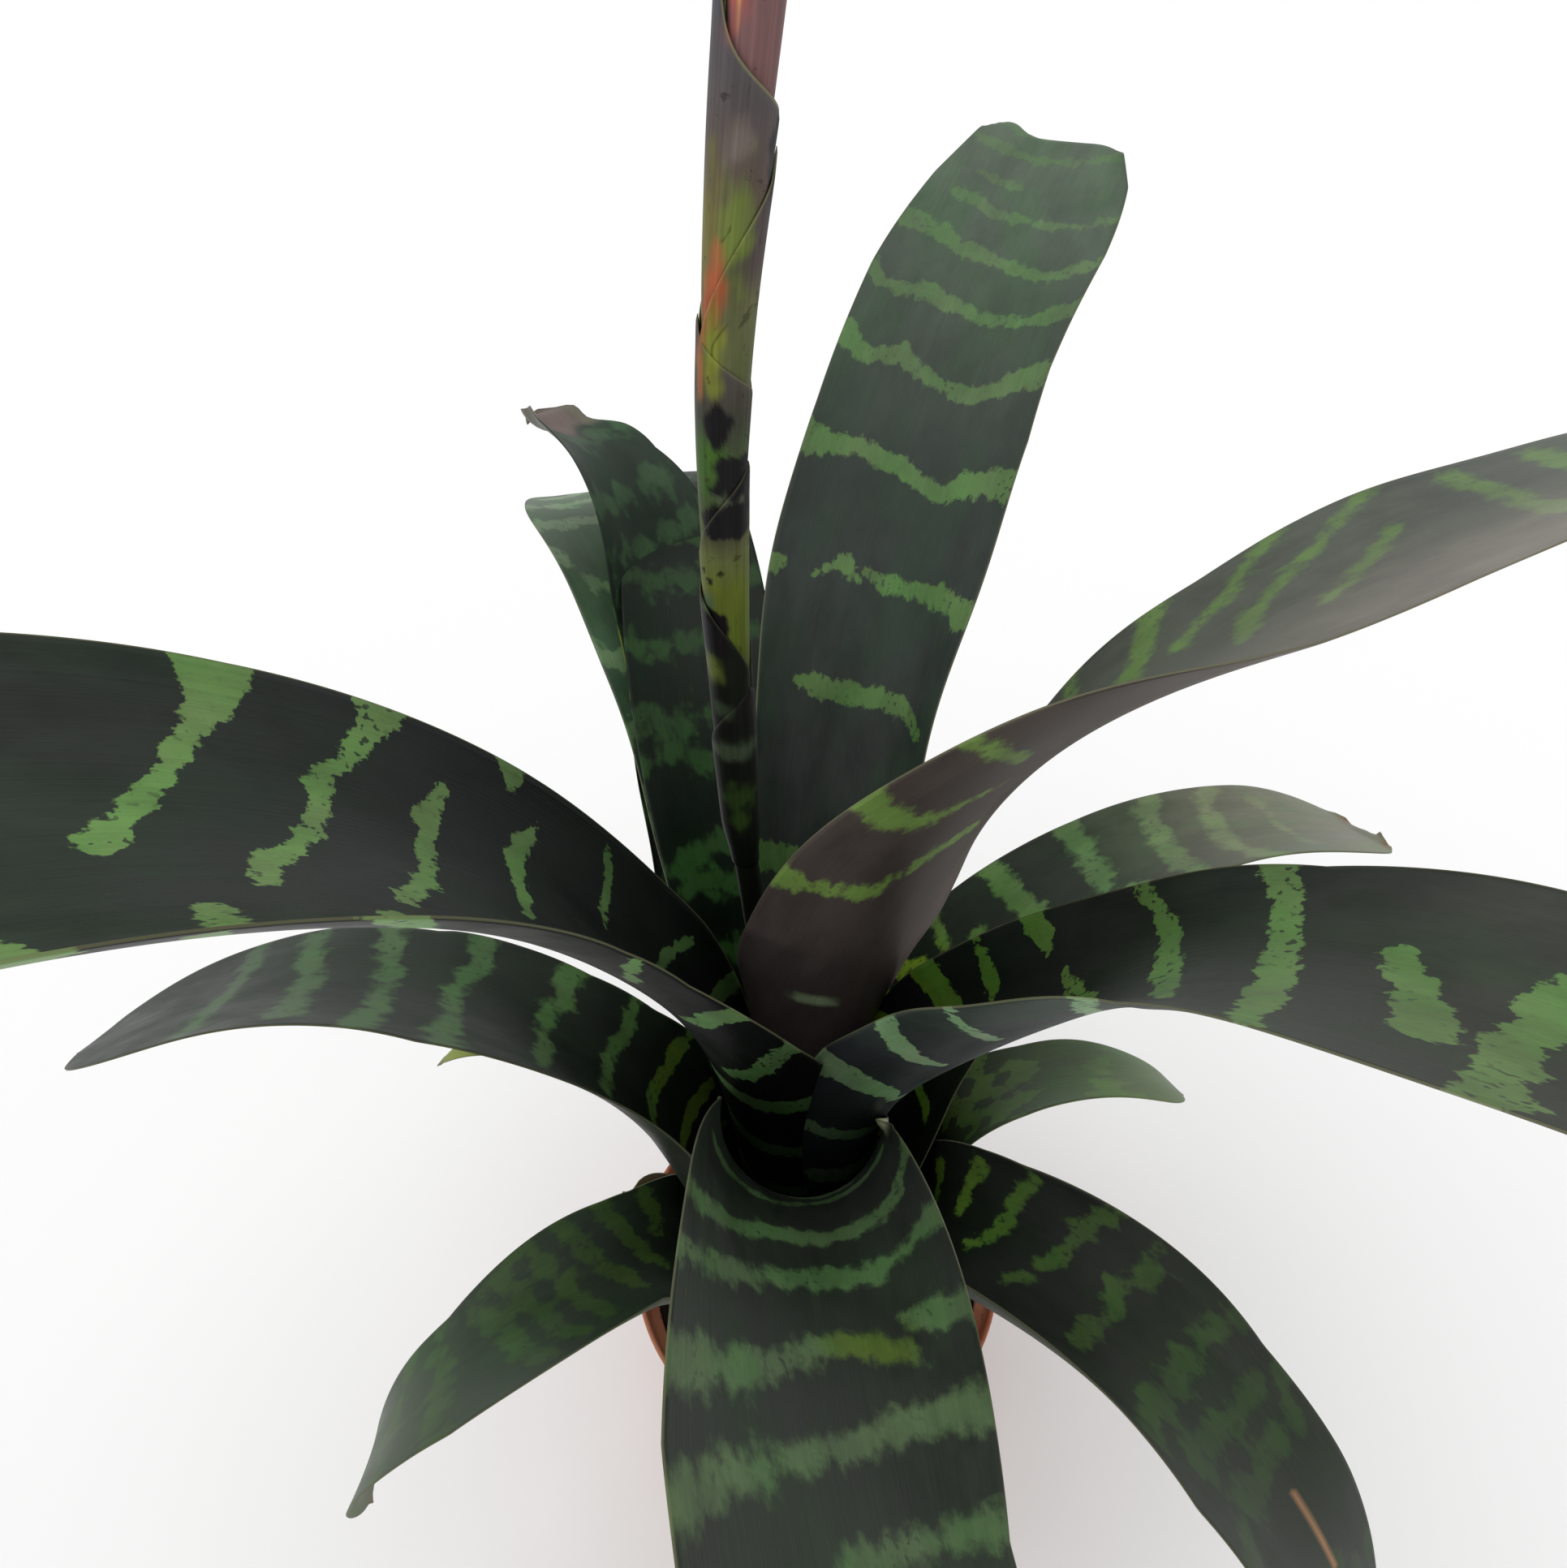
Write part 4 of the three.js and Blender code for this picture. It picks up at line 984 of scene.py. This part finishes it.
def makeBractMaterial(name, skin, blotches, margin):
    # blotches: how dark they and the specks are. margin: whether the rim is lighter
    material, tree, shader = newMaterial(name, Specular_IOR_Level=skin["gloss"])
    place = readAttribute(tree, "skinPlace")
    spread = stretched(tree, place, (0.1, 0.18, 1))
    blotch = noiseOf(tree, spread, detail=4.0, roughness=0.7, distortion=1.2)
    speck = noiseOf(tree, stretched(tree, place, (0.45, 0.8, 1)), detail=2.0)
    lines = noiseOf(tree, stretched(tree, place, (0.04, 2.2, 1)), detail=2.0)
    cloud = noiseOf(tree, stretched(tree, place, (0.05, 0.2, 1)), detail=3.0)
    colour = readAttribute(tree, "skinTone")
    lineShade = mapped(tree, lines, 0.25, 0.75, 1 - skin["lineShade"], 1 + skin["lineShade"])
    cloudShade = mapped(tree, cloud, 0.25, 0.75, 1 - skin["cloudShade"], 1 + skin["cloudShade"])
    colour = dimmed(tree, colour, maths(tree, "MULTIPLY", lineShade, cloudShade))
    for grain, low, high, key in ((blotch, 0.62, 0.68, "blotchTone"), (speck, 0.68, 0.73, "speckTone")):
        colour = mixTone(tree, mapped(tree, grain, low, high, 0.0, blotches), colour, tone(*skin[key]))
    if margin:
        marks = splitVector(tree, readAttribute(tree, "skinMarks"))
        rim = maths(tree, "MULTIPLY", mapped(tree, marks[0], *skin["marginWidth"], 1.0, 0.0), marks[1])
        colour = mixTone(tree, rim, colour, tone(*skin["marginTone"]))
    rough = mapped(tree, cloud, 0.3, 0.7, *skin["roughness"])
    finishShader(tree, shader, colour, rough, bumpOf(tree, lines, 0.6, skin["lineDepth"]))
    return material


makeStalk(makeBractMaterial("stalkSkin", bractSkin, 0.4, False))
print("stalk made")

# bracts that wrap the stalk below the sword, from the lowest; each rim falls from the tip to the far side
sheathShape = {
    "first": 302, "step": 24, "length": [46, 46, 46, 46, 44, 46, 46], "top": 480,
    "heading": -30, "turn": -170,    # compass side of the first tip, and from each tip to the next
    "wrap": 177,           # half the angle covered
    "under": 6,            # how far the foot reaches down inside the bract below
    "gap": 0.9,            # between the stalk and a bract
    "rise": 14,            # height over which the gap opens, at the lowest bract
    "thick": 0.35, "thinRim": (0.35, 1.2),     # share of it left at the rim, and width of the thin part
    "rows": 60, "columns": 72,
    "spread": [1.2, 1.2, 1.2, 1.2, 1.5, 2.0, 1.6],     # growth of the radius from foot to tip
    "flare": [-0.3, -0.3, -0.3, -0.3, 0, 0.2, 0],      # how far the tip stands off
    "flareSize": (14, 40),     # its height, and its half width in degrees
    # the tip's height and half width in degrees; the rim's fall to the far side, and how that curves
    "point": [(0.8, 14)] * 3 + [(1.2, 12), (3, 9), (9, 14), (5, 14)],
    "fall": [(20, 1.6)] * 3 + [(11, 1.1), (25, 1.6), (14, 0.75), (14, 1.2)],
    "rimLight": [0, 0.05, 0.1, 0.15, 0.3, 0.35, 0.3],
    # heights and colours of each bract
    "tones": [
        [(302, (22, 26, 20)), (330, (26, 30, 24)), (348, (30, 28, 26))],
        [(326, (24, 28, 20)), (350, (26, 30, 22)), (365, (30, 34, 26)), (372, (60, 62, 52))],
        [(350, (60, 70, 30)), (360, (94, 108, 40)), (372, (106, 116, 46)), (379, (104, 110, 66)),
         (384, (76, 74, 58)), (396, (60, 56, 54))],
        [(374, (80, 92, 46)), (398, (74, 90, 56)), (405, (70, 72, 60)), (411, (82, 76, 70)),
         (420, (88, 80, 76))],
        [(398, (88, 98, 64)), (410, (98, 104, 66)), (424, (104, 106, 72)), (429, (86, 76, 74)),
         (444, (66, 62, 66))],
        [(422, (112, 104, 66)), (430, (108, 104, 74)), (438, (100, 88, 78)), (446, (94, 86, 86)),
         (468, (84, 86, 92))],
        [(446, (124, 92, 90)), (460, (128, 96, 96)), (473, (138, 96, 90))],
    ],
}


def makeSheathBract(index, material):
    s = sheathShape
    foot = s["first"] + s["step"] * index
    top = min(foot + s["length"][index], s["top"])
    foot -= s["under"]
    heading = s["heading"] + s["turn"] * index
    up = np.linspace(0, 1, s["rows"] + 1)[:, None]
    share = np.linspace(-1, 1, s["columns"] + 1)[None] + 0 * up
    share = share * (0.35 + 0.65 * np.abs(share))  # closer columns by the tip
    aside = s["wrap"] * np.abs(share)
    (tall, wide), (fall, curve) = s["point"][index], s["fall"][index]
    rim = top - tall * (1 - np.exp(-aside / wide))
    rim = rim - fall * (aside / 180) ** curve
    height = foot + (rim - foot) * up
    side = heading + s["wrap"] * share
    rise = smoothStep(height, foot, foot + s["rise"]) if index == 0 else 1
    spread = s["spread"][index] * (height - foot) / (s["length"][index] + s["under"])
    radius = stalkRadius(height) + s["gap"] * rise + spread
    radius = radius + 0.1 * ripple(height / 7, np.radians(side), 30 + index) * up
    flareHeight, flareSide = s["flareSize"]
    flare = smoothStep(height, top - flareHeight, top) * np.exp(-(aside / flareSide) ** 2)
    radius = radius + s["flare"][index] * flare
    edge = np.minimum((1 - np.abs(share)) * np.radians(s["wrap"]) * radius, rim - height)
    thinnest, thinTo = s["thinRim"]
    thick = s["thick"] * (thinnest + (1 - thinnest) * smoothStep(edge, 0, thinTo))
    outward = onCircle(np.radians(side), 1, 0)
    sheets = [(stalkCentre(height) + outward * (radius + way * thick)[..., None]) * mm for way in (0, 1)]
    mesh = closedSheet(f"sheath{index}", sheets[0], sheets[1])
    girth = np.radians(side - heading) * 3.2
    place = np.stack([height - foot, girth, 0 * height + 70 + 9 * index], axis=-1)
    level = height + 1.2 * ripple(height / 5, np.radians(side) * 2, 60 + index)
    colours = rampColours(*zip(*s["tones"][index]), level)
    colours = paintPatches(colours, height, side)
    marks = np.stack([edge, 0 * edge + s["rimLight"][index], 0 * edge], axis=-1)
    for name, values in (("skinTone", colours), ("skinPlace", place), ("skinMarks", marks)):
        setVectors(mesh, name, bothSides(values, values))
    addPiece(f"stalk-sheath-{index + 1}", mesh, [material], [f"stalk_bract_{index + 1}"])


sheathMaterial = makeBractMaterial("sheathSkin", bractSkin, 0.5, True)
for sheathIndex in range(len(sheathShape["tones"])):
    makeSheathBract(sheathIndex, sheathMaterial)
print("stalk bracts made:", len(sheathShape["tones"]))

# the sword: keeled red bracts in two rows, each clasping the ones above it
swordShape = {
    "start": 476, "pairs": 11, "step": 13, "heading": 24, "length": (46, 26), "tilt": (16, 12),
    "halfThick": (3.4, 1.5),   # at the foot, and what the flanks gain towards the tip
    "slimmer": 0.35,           # how much slimmer the topmost bracts are
    "offStalk": 0.6,           # gap between the stalk and a foot
    "belly": 0.12,             # how far the keel bows outwards, per length
    "thick": 0.6, "rows": 40, "columns": 32,
    "tones": [(0, (150, 44, 24)), (0.3, (196, 46, 26)), (0.75, (214, 54, 28)), (1, (186, 70, 30))],
}


def makeSwordBract(index, material):
    s = swordShape
    level = index // 2
    share = level / (s["pairs"] - 1)
    foot = s["start"] + s["step"] * (level + (index % 2) / 2)
    length = s["length"][0] + (s["length"][1] - s["length"][0]) * share
    tilt = math.radians(s["tilt"][0] + (s["tilt"][1] - s["tilt"][0]) * share)
    heading = math.radians(s["heading"] + 180 * (index % 2))
    out = np.array([math.cos(heading), math.sin(heading), 0])
    across = np.array([-math.sin(heading), math.cos(heading), 0])
    along = np.linspace(0, 1, s["rows"] + 1)[:, None]
    around = np.linspace(-1, 1, s["columns"] + 1)[None]
    footRadius = float(stalkRadius(foot)) + s["offStalk"]
    keelOut = footRadius + length * math.sin(tilt) * (along + s["belly"] * np.sin(math.pi * along))
    depth = (keelOut + 2.2) * np.maximum(1 - along**1.7, 0.02)
    halfThick = (s["halfThick"][0] + s["halfThick"][1] * along) * (1 - s["slimmer"] * share)
    halfThick = halfThick * np.sqrt(np.maximum(1 - along**3, 0.01))
    bend = around * 1.5
    keel = np.abs(np.sin(bend)) ** 0.8 * np.sign(bend)
    swell = 0.15 * ripple(along * 5, around * 4, 80 + index)
    centre = stalkCentre(foot)
    sheets = []
    for side in (0.0, 1.0):
        thick = side * s["thick"] * (1 - 0.5 * around**4)
        wide = keel * (halfThick - thick)
        inner = keelOut - thick - (1 - np.cos(bend)) * depth + swell
        flat = out * inner[..., None] + across * wide[..., None]
        tall = (along * length * math.cos(tilt) + 0 * around)[..., None] * np.array([0, 0, 1.0])
        sheets.append((centre + flat + tall) * mm)
    mesh = closedSheet(f"sword{index}", sheets[1], sheets[0])
    flat = 0 * along * around
    place = np.stack([along * length + flat, around * 8 + flat, flat + 200 + 7 * index], axis=-1)
    level = along + 0.05 * ripple(along * 6, around * 4, 90 + index)
    colours = rampColours(*zip(*s["tones"]), level)
    for name, values in (("skinTone", colours), ("skinPlace", place)):
        setVectors(mesh, name, bothSides(values, values))
    addPiece(f"sword-keel-{index + 1}", mesh, [material], [f"sword_bract_{index + 1}"])


swordMaterial = makeBractMaterial("swordSkin", bractSkin, 0.0, False)
for swordIndex in range(2 * swordShape["pairs"]):
    makeSwordBract(swordIndex, swordMaterial)
print("sword made")

# pot
potShape = {
    "height": 105, "rimRadius": 60, "baseRadius": 44, "wall": 1.6, "lip": 3, "rimDepth": 12, "sides": 128,
    "drainHoles": 6, "drainRadius": 4, "drainCircle": 28,
    "clay": (196, 128, 98), "deepClay": (166, 92, 64), "bloom": (214, 174, 148), "speck": (92, 52, 38),
    "roughness": (0.58, 0.78), "gloss": 0.35,
}


def makePotMaterial(pot):
    material, tree, shader = newMaterial("potClay", Specular_IOR_Level=pot["gloss"])
    where = addNode(tree, "TexCoord").outputs["Object"]
    cloud = noiseOf(tree, where, 28.0, 4.0, 0.6)
    grain = noiseOf(tree, where, 900.0, 2.0)
    speck = noiseOf(tree, where, 380.0, 1.0)
    colour = mixTone(tree, mapped(tree, cloud, 0.35, 0.65), tone(*pot["deepClay"]), tone(*pot["clay"]))
    bloom = mapped(tree, noiseOf(tree, where, 60.0, 5.0, 0.7), 0.55, 0.75, 0.0, 0.5)
    colour = mixTone(tree, bloom, colour, tone(*pot["bloom"]))
    colour = mixTone(tree, mapped(tree, speck, 0.68, 0.74, 0.0, 0.5), colour, tone(*pot["speck"]))
    rough = mapped(tree, cloud, 0.3, 0.7, *pot["roughness"])
    normal = bumpOf(tree, grain, 0.25, 0.0002)
    finishShader(tree, shader, colour, rough, bumpOf(tree, cloud, 0.2, 0.001, normal))
    return material


def potSlope(pot):
    # how far the outside leans out, per millimetre of height
    return (pot["rimRadius"] - pot["lip"] - pot["baseRadius"]) / pot["height"]


def potProfile(pot):
    # (radius, height), from the middle of the base around the rim to the middle of the floor inside
    base, rim, top = pot["baseRadius"], pot["rimRadius"], pot["height"]
    wall, lip, wallTop = pot["wall"], pot["lip"], top - pot["rimDepth"]

    def outer(height):
        return base + potSlope(pot) * height

    step = outer(wallTop)
    inStep = outer(wallTop + wall) + lip - wall
    return np.array([
        (0.4, 0), (base - 1.2, 0), (base - 0.4, 0.3), (base + 0.1, 1.2),
        *((outer(h), h) for h in np.linspace(4, wallTop - 0.6, 14)),
        (step + 0.6, wallTop), (step + lip - 0.6, wallTop), (step + lip, wallTop + 0.6),
        (rim, top - 0.8), (rim - 0.3, top - 0.2), (rim - 0.8, top), (rim - 1.3, top - 0.2),
        (rim - wall, top - 0.9),
        (inStep, wallTop + wall + 0.5), (inStep - 0.6, wallTop + wall), (step - wall + 0.3, wallTop + wall),
        *((outer(h) - wall, h) for h in np.linspace(wallTop + wall - 0.6, 3, 12)),
        (outer(wall) - wall - 1, wall), (0.4, wall)])


def makePot(pot, material):
    profile = potProfile(pot)
    radius, high = profile[:, :1], profile[:, 1:]
    angle = np.linspace(0, 2 * math.pi, pot["sides"], endpoint=False)
    rings = onCircle(angle, radius, high) * mm
    piece = addPiece("pot-shell", tubeMesh("pot", rings), [material], ["pot"])
    bore = onCircle(angle[::4], pot["drainRadius"], 0)
    for hole in range(pot["drainHoles"]):
        turn = 2 * math.pi * hole / pot["drainHoles"]
        drill = bore + np.array([math.cos(turn), math.sin(turn), 0]) * pot["drainCircle"]
        drill = np.stack([drill - (0, 0, 5), drill + (0, 0, 5)])
        rod = bpy.data.objects.new("drill", tubeMesh("drill", drill * mm))
        bpy.context.scene.collection.objects.link(rod)
        cut = piece.modifiers.new("hole", "BOOLEAN")
        cut.object = rod
        with bpy.context.temp_override(object=piece, active_object=piece):
            bpy.ops.object.modifier_apply(modifier=cut.name)
        bpy.data.objects.remove(rod)


makePot(potShape, makePotMaterial(potShape))
print("pot made")

# potting mix: a crowned bed of fine mix with bark chips and fibres lying in it
mixShape = {
    "top": 96, "crown": 42, "slope": 12, "sink": 3,    # flat up to the crown's radius, lower beyond it
    "floor": 1.9, "gap": 0.3, "seed": 5,
    "sides": 96, "rings": 34, "swell": 0.9, "crumb": 0.6,    # depth of its swells and of its crumbs
    "chips": 420, "chipSize": (2.0, 6.5), "chipTip": 0.5,
    "chipParts": ((0.7, 1.3), (0.4, 0.8), (0.2, 0.5)),     # length, width and height per size
    "fibres": 260, "fibreSteps": 9, "fibreStep": 1.6, "fibreThin": (0.12, 0.3), "fibreCurl": 0.35,
    "tones": [(44, 32, 24), (70, 50, 36), (30, 23, 19), (92, 68, 48)], "bedTone": (30, 23, 19),
    "fibreTone": (96, 70, 46),
    "roughness": (0.75, 0.95), "gloss": 0.25,
}


def makeMixMaterial(mix):
    material, tree, shader = newMaterial("barkMix", Specular_IOR_Level=mix["gloss"])
    where = addNode(tree, "TexCoord").outputs["Object"]
    colour = readAttribute(tree, "skinTone")
    cloud = noiseOf(tree, where, 420.0, 4.0, 0.65)
    colour = dimmed(tree, colour, mapped(tree, cloud, 0.3, 0.7, 0.5, 1.5))
    grain = noiseOf(tree, where, 1500.0, 3.0)
    rough = mapped(tree, cloud, 0.3, 0.7, *mix["roughness"])
    finishShader(tree, shader, colour, rough, bumpOf(tree, grain, 0.7, 0.0004))
    return material


def makeMix(mix, pot, material):
    draw = random.Random(mix["seed"])
    slope = potSlope(pot)
    inset = pot["wall"] + mix["gap"]
    points, faces, colours = [], [], []

    def topAt(radius):
        return mix["top"] - mix["sink"] * np.clip((radius - mix["crown"]) / mix["slope"], 0, 1)

    def addPart(newPoints, newFaces, colour):
        start = len(points)
        points.extend(newPoints)
        faces.extend([[start + i for i in face] for face in newFaces])
        colours.extend([colour] * len(newPoints))

    sides, rings = mix["sides"], mix["rings"]
    edge = pot["baseRadius"] + slope * (mix["top"] - mix["sink"]) - inset
    bed = [(0, 0, float(mix["top"]))]
    for i in range(1, rings + 1):
        radius = edge * i / rings
        for j in range(sides):
            turn = 2 * math.pi * j / sides
            x, y = radius * math.cos(turn), radius * math.sin(turn)
            rough = mix["swell"] * float(ripple(x / 3, y / 3, 21)) + mix["crumb"] * draw.uniform(-1, 1)
            inner = min(1, (edge - radius) / 2 + 0.1)
            bed.append((x, y, float(topAt(radius)) + rough * inner - 0.6))
    low = pot["baseRadius"] + slope * mix["floor"] - inset
    turns = [2 * math.pi * j / sides for j in range(sides)]
    bed += [(low * math.cos(turn), low * math.sin(turn), mix["floor"]) for turn in turns]
    bedFaces = [(0, 1 + j, 1 + (j + 1) % sides) for j in range(sides)]
    for i in range(rings):
        for j in range(sides):
            a, b = 1 + i * sides, 1 + i * sides + sides
            bedFaces.append((a + j, b + j, b + (j + 1) % sides, a + (j + 1) % sides))
    bedFaces.append(tuple(1 + rings * sides + j for j in range(sides - 1, -1, -1)))
    addPart(bed, bedFaces, tone(*mix["bedTone"]))

    for _ in range(mix["chips"]):
        turn, radius = draw.uniform(0, 2 * math.pi), (edge - 4) * math.sqrt(draw.random())
        size = draw.uniform(*mix["chipSize"])
        box = [size * draw.uniform(*part) for part in mix["chipParts"]]
        spin, tip = draw.uniform(0, math.pi), draw.uniform(-mix["chipTip"], mix["chipTip"])
        chip = []
        for cz in (-1, 1):
            for cy in (-1, 1):
                for cx in (-1, 1):
                    x, y, z = (c * b / 2 * draw.uniform(0.7, 1.15) for c, b in zip((cx, cy, cz), box))
                    x, z = x * math.cos(tip) - z * math.sin(tip), x * math.sin(tip) + z * math.cos(tip)
                    x, y = x * math.cos(spin) - y * math.sin(spin), x * math.sin(spin) + y * math.cos(spin)
                    chip.append((x + radius * math.cos(turn), y + radius * math.sin(turn),
                                 z + float(topAt(radius)) + draw.uniform(-0.6, 0.4)))
        addPart(chip, [(0, 2, 3, 1), (4, 5, 7, 6), (0, 1, 5, 4), (2, 6, 7, 3), (0, 4, 6, 2), (1, 3, 7, 5)],
                tone(*draw.choice(mix["tones"])))

    for _ in range(mix["fibres"]):
        turn, radius = draw.uniform(0, 2 * math.pi), (edge - 6) * math.sqrt(draw.random())
        x, y = radius * math.cos(turn), radius * math.sin(turn)
        z = float(topAt(radius)) + draw.uniform(-0.2, 1.2)
        way, curl = draw.uniform(0, 2 * math.pi), draw.uniform(-mix["fibreCurl"], mix["fibreCurl"])
        thin = draw.uniform(*mix["fibreThin"])
        fibre = []
        for i in range(mix["fibreSteps"]):
            for j in range(4):
                bend = math.pi / 2 * j
                side = (-math.sin(way) * math.cos(bend), math.cos(way) * math.cos(bend), math.sin(bend))
                fibre.append((x + side[0] * thin, y + side[1] * thin, z + side[2] * thin))
            x, y = x + math.cos(way) * mix["fibreStep"], y + math.sin(way) * mix["fibreStep"]
            z += draw.uniform(-0.5, 0.45)
            if x * x + y * y > (edge - 2) ** 2:
                way += math.pi / 2
            way += curl
        fibreFaces = [(4 * i + j, 4 * i + (j + 1) % 4, 4 * i + 4 + (j + 1) % 4, 4 * i + 4 + j)
                      for i in range(mix["fibreSteps"] - 1) for j in range(4)]
        last = 4 * (mix["fibreSteps"] - 1)
        fibreFaces += [(3, 2, 1, 0), (last, last + 1, last + 2, last + 3)]
        addPart(fibre, fibreFaces, tone(*mix["fibreTone"]))

    mesh = bpy.data.meshes.new("mix")
    mesh.from_pydata((np.array(points, float) * mm).tolist(), [], faces)
    setVectors(mesh, "skinTone", np.array(colours))
    addPiece("mix-bed", mesh, [material], ["potting_mix"])


makeMix(mixShape, potShape, makeMixMaterial(mixShape))
print("potting mix made")

# floor and light
stageSetup = {
    "floorSize": 30.0,
    "floorHeight": -0.0002,    # just under the pot
    "floorTone": (0.9, 0.9, 0.9),
    "worldLight": 0.75,
    # direction it comes from, how wide it is in degrees, strength
    "sun": ((-0.25, 0.05, 1.0), 70, 1.2),
}


def makeStage(setup):
    half, level = setup["floorSize"] / 2, setup["floorHeight"]
    corners = [(x * half, y * half, level) for x, y in ((-1, -1), (1, -1), (1, 1), (-1, 1))]
    mesh = bpy.data.meshes.new("floor")
    mesh.from_pydata(corners, [], [(0, 1, 2, 3)])
    material, _, _ = newMaterial("floorPaper", Base_Color=(*setup["floorTone"], 1), Roughness=0.9)
    mesh.materials.append(material)
    floor = bpy.data.objects.new("floor", mesh)
    bpy.context.scene.collection.objects.link(floor)
    way, wide, strength = setup["sun"]
    data = bpy.data.lights.new("sun", "SUN")
    data.angle, data.energy = math.radians(wide), strength
    sun = bpy.data.objects.new("sun", data)
    lean = math.atan2(math.hypot(way[0], way[1]), way[2])
    sun.rotation_euler = (lean, 0, math.atan2(way[1], way[0]) + math.pi / 2)
    bpy.context.scene.collection.objects.link(sun)
    world = bpy.data.worlds.new("studio")
    world.use_nodes = True
    background = world.node_tree.nodes["Background"]
    background.inputs["Color"].default_value = (1, 1, 1, 1)
    background.inputs["Strength"].default_value = setup["worldLight"]
    bpy.context.scene.world = world
    bpy.context.scene.view_settings.view_transform = "Standard"


makeStage(stageSetup)
print("stage set")
